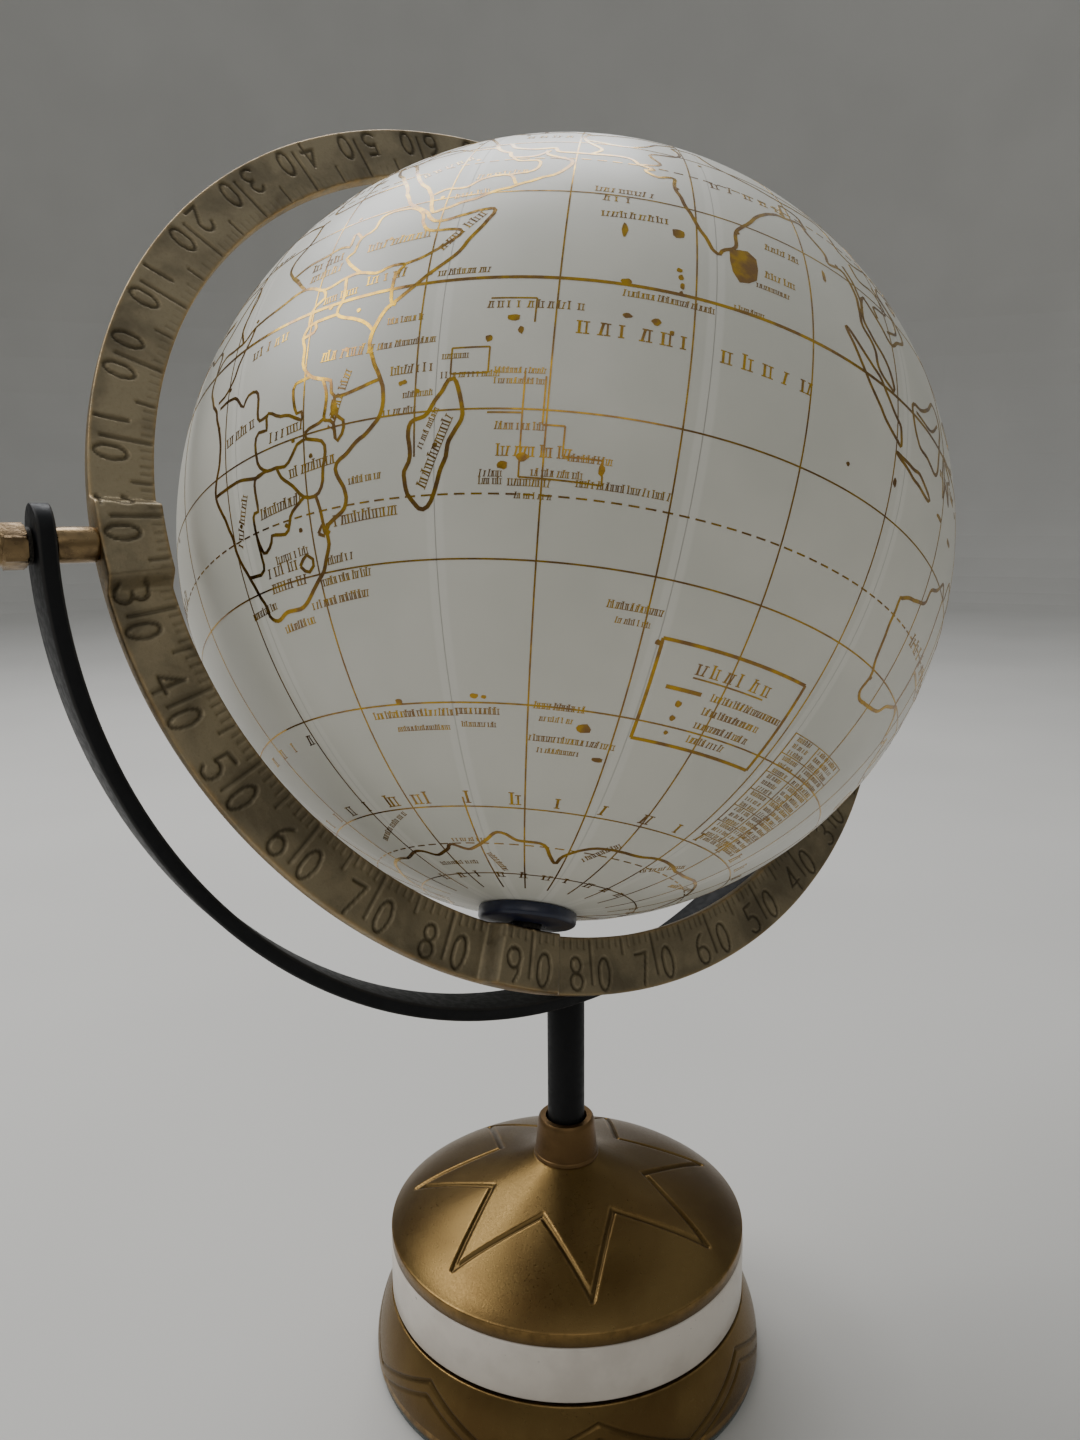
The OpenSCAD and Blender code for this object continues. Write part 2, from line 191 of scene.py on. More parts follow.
def grid_faces(rows, columns, loop_rows=False, loop_columns=True):
    """Quads of a rows x columns grid: each joins a point to its neighbours, round the ends where looped."""
    row = np.arange(rows if loop_rows else rows - 1)[:, None]
    column = np.arange(columns if loop_columns else columns - 1)[None, :]
    next_row = (row + 1) % rows
    next_column = (column + 1) % columns
    corners = [row * columns + column, row * columns + next_column,
               next_row * columns + next_column, next_row * columns + column]
    return np.stack(corners, -1).reshape(-1, 4)


def looped(grid):
    """Shape of a grid that closes on itself both ways, as the skin of a ring does."""
    rows, columns = grid.shape[:2]
    return grid.reshape(-1, 3), grid_faces(rows, columns, loop_rows=True), np.zeros((0, 3), int)


def capped(grid):
    """Shape of a tube of closed rows, with a fan from the middle of its first and of its last row."""
    rows, columns = grid.shape[:2]
    around = np.arange(columns)
    after = (around + 1) % columns
    last = (rows - 1) * columns
    first_fan = np.stack([np.full(columns, rows * columns), after, around], -1)
    last_fan = np.stack([np.full(columns, rows * columns + 1), last + around, last + after], -1)
    points = np.concatenate([grid.reshape(-1, 3), [grid[0].mean(0), grid[-1].mean(0)]])
    return points, grid_faces(rows, columns), np.concatenate([first_fan, last_fan])


def joined(shapes):
    """One shape of several: their points in order, and their faces with the numbers moved on."""
    firsts = np.cumsum([0] + [len(shape[0]) for shape in shapes[:-1]])
    return tuple(
        np.concatenate([shape[part] + (first if part else 0) for shape, first in zip(shapes, firsts)])
        for part in range(3))


def outward(shape):
    """The shape with its faces outwards, so that its volume, the sum of a . (b x c) / 6, is above 0."""
    points, quads, triangles = shape
    split = np.concatenate([quads[:, [0, 1, 2]], quads[:, [0, 2, 3]], triangles])
    a, b, c = (points[split[:, i]] for i in range(3))
    if np.einsum("ij,ij->i", a, np.cross(b, c)).sum() < 0:
        quads, triangles = quads[:, ::-1], triangles[:, ::-1]
    return points, quads, triangles


def both_sides(shape):
    """The shape and its mirror image across the plane x = 0, both facing outwards."""
    points, quads, triangles = outward(shape)
    return joined([(points, quads, triangles),
                   (points * (-1, 1, 1), quads[:, ::-1], triangles[:, ::-1])])


def piece(name, shape, maker, body, replaces=(), crease=35, marks=None):
    """Makes a piece of a shape, in a maker's finish, with named per-point marks, and rides it on a body."""
    points, quads, triangles = shape
    mesh = bpy.data.meshes.new(name)
    mesh.vertices.add(len(points))
    mesh.vertices.foreach_set("co", points.astype(np.float32).ravel())
    corners = np.concatenate([quads.ravel(), triangles.ravel()]).astype(np.int32)
    mesh.loops.add(len(corners))
    mesh.loops.foreach_set("vertex_index", corners)
    starts = np.concatenate([np.arange(len(quads)) * 4, quads.size + np.arange(len(triangles)) * 3])
    mesh.polygons.add(len(starts))
    mesh.polygons.foreach_set("loop_start", starts.astype(np.int32))
    mesh.update(calc_edges=True)
    mesh.validate()
    for title, values in (marks or {}).items():
        layer = mesh.attributes.new(title, "FLOAT", "POINT")
        layer.data.foreach_set("value", np.asarray(values, np.float32).ravel())
    mesh.shade_smooth()
    mesh.set_sharp_from_angle(angle=np.radians(crease))
    mesh.materials.append(finish(maker))
    thing = bpy.data.objects.new(name, mesh)
    bpy.context.scene.collection.objects.link(thing)
    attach(thing, body)
    if replaces:
        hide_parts(*replaces)
    return thing


def lathe_grid(outline, steps):
    """An outline of (radius, height) carried round Z, a row for each point: (r cos t, r sin t, h)."""
    radius, height = np.array(outline, float).T[:, :, None]
    around = np.linspace(0, FULL, steps, endpoint=False)
    return np.stack([radius * np.cos(around), radius * np.sin(around), height + 0 * around], -1)


def turned(outline, place, steps=96, swell=None):
    """Outward shape of an outline in mm turned round its place's Z axis.

    An outline that starts and ends on the axis is fanned shut there, and any other is a closed loop.
    swell(angle, radius, height) gives what is added to each radius, for flats and unevenness.
    """
    outline = np.array(outline, float) * MM
    solid = outline[0, 0] == 0
    grid = lathe_grid(outline[1:-1] if solid else outline, steps)
    if swell is not None:
        around = np.linspace(0, FULL, steps, endpoint=False)[None, :]
        radius = np.hypot(grid[..., 0], grid[..., 1])
        grid[..., :2] *= (1 + swell(around, radius / MM, grid[..., 2] / MM) * MM / radius)[..., None]
    points, quads, triangles = capped(grid) if solid else looped(grid)
    if solid:
        points[-2:, 2] = outline[[0, -1], 1]
    return outward((placed(points, place), quads, triangles))


def arc(middle, radius, start, end, steps):
    """Points on an arc of an ellipse, from start to end in degrees; radius is one number or (x, y)."""
    across, up = radius if isinstance(radius, tuple) else (radius, radius)
    turn = np.radians(np.linspace(start, end, steps))
    return [(middle[0] + across * np.cos(t), middle[1] + up * np.sin(t)) for t in turn]


def bezier(points, steps):
    """Points on the curve that four control points draw."""
    t = np.linspace(0, 1, steps)[:, None]
    a, b, c, d = np.array(points, float)
    return (1 - t) ** 3 * a + 3 * t * (1 - t) ** 2 * b + 3 * t * t * (1 - t) * c + t ** 3 * d


def nearest(x, y, path):
    """Distance from each (x, y) to an open path of straight segments."""
    path = np.array(path, float)
    start, step = path[:-1], np.diff(path, axis=0)
    dx, dy = x[..., None] - start[:, 0], y[..., None] - start[:, 1]
    along = (dx * step[:, 0] + dy * step[:, 1]) / np.maximum((step ** 2).sum(1), 1e-18)
    along = np.clip(along, 0, 1)
    return np.hypot(dx - along * step[:, 0], dy - along * step[:, 1]).min(-1)


def groove(distance, width, floor=0.35):
    """Depth from 0 to 1 of a cut: full over the floor share of its width, then eased to its edge."""
    slope = np.clip((width / 2 - distance) / (width / 2 * (1 - floor)), 0, 1)
    return slope * slope * (3 - 2 * slope)


def ripple(turn, waves):
    """A slow unevenness round a full turn: the sum of height * sin(count * turn + phase)."""
    return sum(height * np.sin(count * turn + phase) for count, height, phase in waves)


# ---- Materials ----

def add(tree, kind, inputs=None, **properties):
    """Adds one node: properties are its settings, and inputs maps a socket to a value or to an output."""
    node = tree.nodes.new(kind)
    for name, value in properties.items():
        setattr(node, name, value)
    for name, value in (inputs or {}).items():
        if isinstance(value, bpy.types.NodeSocket):
            tree.links.new(value, node.inputs[name])
        else:
            node.inputs[name].default_value = value
    return node


def blank(name):
    """An empty node material and its tree."""
    material = bpy.data.materials.new(name)
    material.use_nodes = True
    material.node_tree.nodes.clear()
    return material, material.node_tree


def rgba(tone):
    """A colour socket's value from a hex code or from a settings colour."""
    return (*(linear(tone) if isinstance(tone, str) else tuple(tone)), 1.0)


def blend(tree, share, first, second):
    """The output of a colour mix: first where share is 0, second where it is 1."""
    ends = [value if isinstance(value, bpy.types.NodeSocket) else rgba(value) for value in (first, second)]
    node = add(tree, "ShaderNodeMix", {0: share, 6: ends[0], 7: ends[1]}, data_type="RGBA")
    return node.outputs[2]


def noise(tree, size_mm, detail=3.0, rough=0.55, vector=None, distortion=0.0):
    """Noise in Object space whose blotches are about size_mm across."""
    if vector is None:
        vector = add(tree, "ShaderNodeTexCoord").outputs["Object"]
    return add(tree, "ShaderNodeTexNoise", {
        "Vector": vector, "Scale": 1 / (size_mm * MM), "Detail": detail, "Roughness": rough,
        "Distortion": distortion}).outputs["Fac"]


def ramp(tree, value, low, high, out_low=0.0, out_high=1.0):
    """Maps low..high to out_low..out_high with an eased, clamped slope."""
    return add(tree, "ShaderNodeMapRange", {
        "Value": value, "From Min": low, "From Max": high, "To Min": out_low, "To Max": out_high},
        interpolation_type="SMOOTHSTEP").outputs["Result"]


def times(tree, first, second):
    """The product of two values."""
    return add(tree, "ShaderNodeMath", {0: first, 1: second}, operation="MULTIPLY").outputs[0]


def mark(tree, name):
    """A piece's own per-point mark; it is 0 on a piece without one."""
    return add(tree, "ShaderNodeAttribute", attribute_name=name).outputs["Fac"]


def bump(tree, height, depth_mm):
    """Normal output of a bump whose full height is depth_mm."""
    return add(tree, "ShaderNodeBump", {
        "Height": height, "Distance": depth_mm * MM, "Strength": 1.0}).outputs["Normal"]


def surface(tree, inputs):
    """A Principled surface joined to the material's output."""
    shader = add(tree, "ShaderNodeBsdfPrincipled", inputs)
    add(tree, "ShaderNodeOutputMaterial", {"Surface": shader.outputs[0]})


def aged_metal(name, deep, body, worn, blotch_mm, grain_mm, gloss=(0.36, 0.50), pits=0.05,
               recess_shade_tone=("#2a1f12", 0.45)):
    """A cast, aged metal: patina blotches, painted shade darkening its recesses, rubbed edges and a fine cast
    grain.
    """
    material, tree = blank(name)
    patina = ramp(tree, noise(tree, blotch_mm, 4.0, 0.55, distortion=0.4), 0.34, 0.62)
    grain = noise(tree, grain_mm, 4.0, 0.65)
    tone = blend(tree, patina, deep, body)
    tone = blend(tree, ramp(tree, grain, 0.60, 0.78, 0.0, 0.45), tone, deep)
    rubbed = times(tree, mark(tree, "wear"), ramp(tree, noise(tree, 4.0, 3.0), 0.30, 0.62, 0.15, 1.0))
    tone = blend(tree, rubbed, tone, worn)
    # Painted shade: the recess mark darkens cut lines and grooves towards a near-black brown, by its share.
    tone = blend(tree, times(tree, mark(tree, "recess_shade"), recess_shade_tone[1]), tone, recess_shade_tone[0])
    surface(tree, {
        "Base Color": tone, "Metallic": 1.0,
        "Roughness": ramp(tree, grain, 0.3, 0.7, gloss[0], gloss[1]),
        "Normal": bump(tree, grain, pits)})
    return material


def antique_brass():
    """Antiqued cast brass, lacquered: brown-gold satin with darker patina clouds and rubbed arrises."""
    metal = settings("metal")
    return aged_metal("antique_cast_brass", "#66502f", metal.brass, metal.worn_brass, 42.0, 0.7,
                      gloss=(0.27, 0.40))


def ring_brass():
    """Hammer-finished cast brass of the ring: greyer, blotchier, with painted shade darkening the stamped
    marks.
    """
    metal = settings("metal")
    return aged_metal("stamped_cast_brass", "#736955", "#978a6f", metal.worn_brass, 21.0, 0.9,
                      gloss=(0.38, 0.54), pits=0.08, recess_shade_tone=("#1d160e", 0.62))


def fitting_brass():
    """Rough-turned brass of sleeves and cap nuts: a hammered bronze sheen with bright crests."""
    return aged_metal("hammered_fitting_brass", "#6c5a42", "#8a7453", "#b59a70", 6.0, 2.4,
                      gloss=(0.26, 0.36), pits=0.16)


def collar_bronze():
    """Browner, smoother brass of the turned collar."""
    return aged_metal("turned_collar_brass", "#5c482f", "#735a3b", "#94754e", 18.0, 0.6)


def iron_paint():
    """Black stoving paint on iron bar: near-black satin with a slight orange-peel skin."""
    material, tree = blank("black_stoved_iron")
    skin = noise(tree, 2.2, 2.0)
    scuff = ramp(tree, noise(tree, 9.0, 6.0, 0.7), 0.58, 0.80, 0.0, 0.5)
    tone = blend(tree, scuff, settings("metal").iron, "#1f1f20")
    tone = blend(tree, times(tree, mark(tree, "wear"), 0.5), tone, "#3d3b39")
    surface(tree, {
        "Base Color": tone, "Roughness": ramp(tree, skin, 0.3, 0.7, 0.42, 0.56),
        "Specular IOR Level": 0.22, "Normal": bump(tree, skin, 0.05)})
    return material


def warm_enamel():
    """Sprayed warm white enamel on wood: softly glossy, with a few dust specks near its upper arris."""
    material, tree = blank("sprayed_white_enamel")
    place = add(tree, "ShaderNodeTexCoord").outputs["Object"]
    height = add(tree, "ShaderNodeSeparateXYZ", {0: place}).outputs["Z"]
    near_top = ramp(tree, height, DOME_Z - 7 * MM, DOME_Z - 2 * MM)
    specks = ramp(tree, noise(tree, 1.6, 2.0, vector=place), 0.70, 0.76)
    smear = ramp(tree, noise(tree, 16.0, 3.0, vector=place), 0.40, 0.66)
    tone = blend(tree, times(tree, smear, 0.5), settings("metal").enamel, "#cdc3b6")
    tone = blend(tree, times(tree, times(tree, specks, near_top), 0.8), tone, "#6b5d52")
    # Painted shade would darken any recess mark towards brown; the disc's piece carries none.
    tone = blend(tree, times(tree, mark(tree, "recess_shade"), 0.7), tone, "#4c4238")
    brush = noise(tree, 1.1, 2.0, vector=place)
    surface(tree, {
        "Base Color": tone, "Roughness": ramp(tree, brush, 0.3, 0.7, 0.30, 0.42),
        "Coat Weight": 0.25, "Coat Roughness": 0.2, "Normal": bump(tree, brush, 0.02)})
    return material


def map_lacquer():
    """Pearl grey printed gores under satin lacquer: pale bands where two gores overlap, a soft sheen."""
    material, tree = blank("lacquered_map_gores")
    cloud = ramp(tree, noise(tree, 60.0, 3.0), 0.35, 0.65)
    tone = blend(tree, cloud, settings("map").lacquer, "#d3d2c6")
    fleck = ramp(tree, noise(tree, 0.9, 2.0), 0.80, 0.86, 0.0, 0.5)
    tone = blend(tree, fleck, tone, "#a9a79c")
    overlap = ramp(tree, mark(tree, "seam"), 1.6 * MM, 2.6 * MM, 0.42, 0.0)
    tone = blend(tree, overlap, tone, "#eceae0")
    line = ramp(tree, mark(tree, "seam"), 0.05 * MM, 0.30 * MM, 0.28, 0.0)
    tone = blend(tree, line, tone, "#aaa89d")
    skin = noise(tree, 7.0, 2.0)
    surface(tree, {
        "Base Color": tone, "Roughness": 0.5, "Specular IOR Level": 0.35,
        "Coat Weight": 0.45, "Coat Roughness": 0.32, "Coat IOR": 1.5,
        "Coat Normal": bump(tree, skin, 0.012)})
    return material


def gold_foil():
    """Hot-stamped gold foil under lacquer: mirror gold that goes brown where it faces a dark side."""
    material, tree = blank("hot_stamped_gold_foil")
    patch = ramp(tree, noise(tree, 5.0, 3.0), 0.35, 0.65)
    tone = blend(tree, patch, settings("map").foil_gold, "#8a6a44")
    surface(tree, {
        "Base Color": tone, "Metallic": 1.0,
        "Roughness": ramp(tree, noise(tree, 1.4, 2.0), 0.3, 0.7, 0.14, 0.26)})
    return material


def navy_paint():
    """Thick navy enamel on the pole caps: almost black with a soft sheen."""
    material, tree = blank("navy_cap_enamel")
    skin = noise(tree, 3.0, 3.0)
    tone = blend(tree, ramp(tree, skin, 0.55, 0.75, 0.0, 0.6), settings("metal").navy, "#22304f")
    surface(tree, {
        "Base Color": tone, "Roughness": 0.38, "Coat Weight": 0.3, "Coat Roughness": 0.15,
        "Normal": bump(tree, skin, 0.08)})
    return material


def zinc_steel():
    """Zinc-plated steel of rods, studs and nuts: bluish grey with fine drawn lines."""
    material, tree = blank("zinc_plated_steel")
    streak = noise(tree, 1.2, 4.0)
    tone = blend(tree, ramp(tree, streak, 0.35, 0.65), "#9a9c9e", "#7d8084")
    surface(tree, {
        "Base Color": tone, "Metallic": 1.0, "Roughness": ramp(tree, streak, 0.3, 0.7, 0.24, 0.40),
        "Normal": bump(tree, streak, 0.02)})
    return material


def blackened_washer():
    """Oil-blacked steel of the pivot washers: dull dark grey."""
    material, tree = blank("oil_blacked_steel")
    grain = noise(tree, 0.8, 3.0)
    tone = blend(tree, ramp(tree, grain, 0.4, 0.6), "#2b2926", "#3d3a35")
    surface(tree, {
        "Base Color": tone, "Metallic": 1.0, "Roughness": 0.5, "Normal": bump(tree, grain, 0.04)})
    return material


def moulded_shell():
    """Moulded polystyrene of the inner shells and bushes: matt off-white with a faint flow grain."""
    material, tree = blank("moulded_polystyrene")
    flow = noise(tree, 12.0, 3.0)
    tone = blend(tree, ramp(tree, flow, 0.35, 0.65), "#c9c8c2", "#bdbcb5")
    surface(tree, {"Base Color": tone, "Roughness": 0.5, "Normal": bump(tree, noise(tree, 0.6, 2.0), 0.02)})
    return material


def wool_felt():
    """Pressed dark green wool felt under the base: matt, with short matted fibres."""
    material, tree = blank("pressed_wool_felt")
    fibre = noise(tree, 0.5, 5.0, 0.75)
    tone = blend(tree, ramp(tree, fibre, 0.35, 0.65), "#1f2b25", "#3a4a41")
    surface(tree, {
        "Base Color": tone, "Roughness": 0.95, "Sheen Weight": 0.4, "Sheen Roughness": 0.5,
        "Normal": bump(tree, fibre, 0.3)})
    return material


def studio_paint(name, tone):
    """Matt studio floor paint with a trace of unevenness."""
    material, tree = blank(name)
    cloud = ramp(tree, noise(tree, 400.0, 2.0), 0.3, 0.7)
    darker = tuple(0.95 * channel for channel in tone)
    surface(tree, {"Base Color": blend(tree, cloud, tone, darker), "Roughness": 0.85})
    return material


FINISHES = {}


def finish(maker):
    """The one material that a maker function makes, made on its first use."""
    if maker.__name__ not in FINISHES:
        FINISHES[maker.__name__] = maker()
    return FINISHES[maker.__name__]



# ---- The map: outlines as longitude, latitude pairs in degrees ----

AFRICA = [
    -6, 35.8, -2, 35.1, 3, 36.9, 10, 37.3, 10.2, 34, 15.2, 32.3, 19, 30.3, 20, 32.2, 25, 31.6, 29, 30.9,
    32.3, 31.3, 32.6, 29.8, 34, 26.6, 35.6, 24, 37.2, 20.8, 38.5, 18, 39.7, 15.2, 42.7, 12.6, 43.3, 11.5,
    44.6, 10.4, 47.5, 11.1, 51.2, 11.8, 50.8, 9.4, 49, 6.5, 47.9, 4.4, 45, 1.8, 42.2, -0.8, 40.2, -2.8,
    38.8, -6, 39.5, -8.5, 40.5, -10.8, 40.7, -15, 38, -17.3, 36.4, -18.8, 34.8, -19.9, 35.5, -22.5,
    35.3, -24.3, 32.8, -25.9, 32.6, -28.2, 30.8, -30.8, 28, -33, 25.7, -34, 22.5, -34.1, 20, -34.8,
    18.4, -34, 18.2, -32, 16.5, -28.7, 15.1, -26.6, 14.4, -22.6, 11.8, -17.6, 13.5, -12.6, 13.2, -9,
    12.2, -6, 9.5, -2.1, 9.3, 0.6, 9.6, 3.2, 8.5, 4.6, 6, 4.3, 4.3, 6.3, 1, 5.9, -2, 4.8, -4.5, 5.2,
    -7.6, 4.4, -11.4, 6.9, -13.3, 8.9, -15, 11, -16.8, 12.5, -17.4, 14.7, -16.3, 17, -16.3, 19.3, -17, 21,
    -15.8, 23.8, -13, 27.5, -9.8, 29.8, -9.7, 31.5, -6.9, 34]
MADAGASCAR = [
    49.3, -12, 50.4, -15.6, 49.4, -17.6, 48.4, -20.5, 47.1, -24.9, 45.2, -25.6, 43.7, -23.4, 43.4, -21.6,
    44.4, -20, 44.1, -17.6, 44.6, -16.2, 46.5, -15.7, 48, -13.6]
EURASIA = [
    32.6, 29.8, 35, 29.5, 36.8, 26, 39.1, 21.5, 42.7, 16.6, 43.5, 12.7, 45, 12.9, 48.7, 14, 52.2, 15.7,
    55.2, 17.6, 57.8, 19, 59.8, 22.5, 58.6, 23.6, 56.4, 24.9, 56.3, 26.3, 54.3, 24.2, 51.6, 24.3,
    51.2, 26.1, 50.1, 26.7, 48.5, 28.4, 48, 30, 50.2, 30, 51.5, 27.9, 54.5, 26.6, 56.8, 27.1, 57.6, 25.6,
    61.6, 25.2, 66.6, 25.3, 68.2, 23.6, 70.3, 22.9, 69, 22.2, 70.5, 20.8, 72.6, 21.5, 72.8, 19, 74, 15,
    75.8, 11.3, 77.5, 8.1, 78.3, 9, 79.9, 10.3, 80.2, 13.5, 82.3, 16.6, 85.2, 19.6, 87, 21.4, 89, 21.8,
    91.5, 22.6, 92.3, 20.7, 94.3, 18, 94.4, 16, 96.5, 16.4, 97.6, 15.8, 98.6, 12, 98.4, 8, 100.3, 6,
    101.4, 2.8, 103.5, 1.3, 104.2, 1.4, 103.3, 4.4, 100.6, 7.2, 99.3, 9.6, 100.2, 13.3, 101.2, 12.8,
    103, 10.7, 104.9, 8.7, 106.7, 10.3, 109.2, 11.8, 108.8, 14.6, 105.9, 18.6, 107, 21, 109.5, 21.4,
    113.5, 22.2, 116.8, 23.3, 119.5, 25.5, 121.8, 29.2, 120.8, 32.2, 119.3, 35, 122.4, 37.1, 118.9, 37.6,
    118, 39.1, 121.7, 40.6, 124.5, 39.8, 125, 37.8, 126.5, 36.5, 126.4, 34.5, 129.2, 35.3, 129.3, 37.2,
    127.6, 39.4, 129.9, 41.5, 132.2, 43.2, 136, 44.6, 140.4, 48.5, 141.2, 53.2, 137.4, 54, 141, 58.2,
    149, 59.6, 155, 59.3, 161, 61.4, 163.4, 61, 157, 57.8, 155.8, 52, 157, 51.2, 160.2, 53.5, 163, 57.5,
    166, 60, 170.3, 60, 179.4, 62.5, 178, 64.6, 187, 64.4, 190, 66, 180, 69, 170.5, 70, 160, 69.6, 148, 72,
    139, 72, 130, 71.2, 126, 73.6, 113, 73.8, 104, 77.7, 90, 75.5, 80.5, 73.4, 77, 72.2, 73, 71, 71, 73.2,
    67, 71, 68, 69, 60, 69.4, 54, 68.4, 44, 68.2, 43, 66.4, 38, 64.6, 35, 66.6, 41, 67, 33, 69.5, 25, 71,
    18, 69.6, 12, 65.6, 5, 62, 5.5, 59, 8, 58, 10.8, 59.3, 12.7, 56, 14.3, 55.5, 16.6, 57, 18.6, 60,
    17.2, 61.7, 22, 65.6, 25.4, 65, 21.4, 61, 23, 60, 29.8, 60, 23.8, 59.2, 21.4, 57, 21, 55.2, 18, 54.6,
    11, 54.2, 10.4, 57.4, 8.2, 56.6, 8.6, 54, 4.6, 52.8, 2, 51, -1.4, 49.6, -4.6, 48.4, -1.3, 46,
    -1.6, 43.4, -8.4, 43.6, -9.4, 38.8, -8.8, 37, -5.6, 36.1, -2, 36.8, -0.2, 38.8, 3.2, 42, 4.4, 43.4,
    8.6, 44.3, 10.6, 42.8, 12.6, 41.4, 15.8, 40, 16, 38.2, 17.2, 39.2, 18.4, 40.2, 15.6, 42, 13.2, 43.8,
    13, 45.6, 15.4, 44, 19.4, 41.6, 20.6, 38.8, 22.6, 36.6, 24, 38, 22.8, 40.3, 26.2, 40.8, 29, 41.2,
    28.2, 43.6, 30.8, 46.2, 33.4, 45.6, 33.8, 44.5, 36.4, 45.2, 38.8, 47, 37.6, 45, 41.5, 41.9, 38, 41,
    33, 42, 27.4, 40, 27.4, 37, 30.6, 36.7, 36, 36.6, 35.8, 34.2, 34.4, 31.4, 32.3, 31.3]
AUSTRALIA = [
    113.6, -22.6, 114.1, -21.8, 117, -20.7, 121, -19.6, 122.2, -17.4, 124.6, -16.2, 127, -14, 129.6, -15,
    130.8, -12.4, 132.6, -11.5, 136.8, -12.2, 135.6, -14.8, 139.6, -17.5, 141, -16.4, 141.8, -12.6,
    142.6, -10.8, 143.8, -14.4, 145.4, -15, 146.2, -18.8, 149.4, -22.2, 153, -25.2, 153.4, -28.4,
    151, -33.6, 149.9, -37.4, 146.4, -39, 143.6, -38.7, 140.4, -37.8, 138.2, -35.4, 137.2, -33.6,
    135.6, -34.8, 131.2, -31.5, 126, -32.3, 123.6, -33.9, 118, -35, 115.2, -34.2, 115.7, -31.8, 114.2, -28.2]
NORTH_AMERICA = [
    -168, 65.6, -162, 66.4, -166, 68.4, -156.6, 71.2, -141, 69.6, -128, 70.4, -115, 68, -108, 68.2,
    -97, 68.4, -94, 71.6, -91, 69, -82, 69.4, -82, 66.6, -87, 64.4, -94.4, 61, -93, 58.8, -87, 56.2,
    -82.3, 55, -80, 51.2, -78.6, 54.4, -77, 57.4, -78, 62.4, -71, 61.2, -67, 58.4, -64.6, 60.2, -61, 56,
    -56, 53, -60, 50, -66.6, 50, -65, 48.4, -61, 45.8, -66, 43.6, -70.4, 43.2, -70, 41.6, -74, 40.6,
    -75.8, 36.8, -78, 33.8, -81.2, 31.2, -80.2, 26, -81.8, 26.2, -83.2, 29.8, -89.4, 29.6, -94.6, 29.4,
    -97.4, 27, -97.6, 22.4, -95.8, 18.8, -91.4, 18.6, -90.2, 21, -87, 21.4, -88.2, 17.2, -88, 15.8,
    -83.4, 15, -83.6, 11, -79.6, 9.5, -77.4, 8.6, -80, 7.5, -83.6, 8.6, -87.4, 12.8, -92.4, 14.6,
    -96.4, 15.8, -101.8, 17.8, -105.5, 20.4, -109.4, 25.6, -113, 31, -114.6, 31, -111.4, 25.6, -109.5, 23,
    -112.2, 26, -115, 29.4, -117.2, 33, -120.6, 34.6, -124, 40, -124, 46.2, -123, 49, -128, 51.4,
    -133.6, 57, -140, 59.8, -147, 60.8, -153, 59, -161, 55.6, -157.6, 58.6, -162, 59.6, -165.6, 61.8,
    -161, 64.4]
SOUTH_AMERICA = [
    -77.4, 8.6, -75.4, 10.8, -71.6, 12.2, -68, 11, -62.2, 10.6, -57.2, 6, -51.8, 4.6, -50, 0.8, -44.4, -2.6,
    -39, -3.4, -35.2, -5.4, -35, -8.8, -38.8, -13.6, -39.4, -18, -41.4, -22.2, -46.4, -24.2, -48.6, -27.2,
    -52, -32.6, -54.8, -34.8, -58.4, -34, -57.2, -37.6, -62, -39, -65, -41.6, -65.6, -45.2, -68.6, -50.4,
    -66.2, -54.8, -71, -54.6, -74.6, -51, -74, -46, -73.4, -41.6, -73.4, -37.2, -71.4, -31, -70.2, -24,
    -70.4, -18.4, -76.2, -13.8, -79.6, -7.2, -81.2, -4.8, -80, -2.4, -80, 0.6, -77.4, 3.6, -78, 7.2]
GREENLAND = [
    -73, 78.4, -62, 81.8, -34, 83.6, -18, 80, -20, 74, -24, 70.4, -38, 66, -43.4, 60, -50, 62.4, -53.6, 67,
    -54, 71, -61, 76]
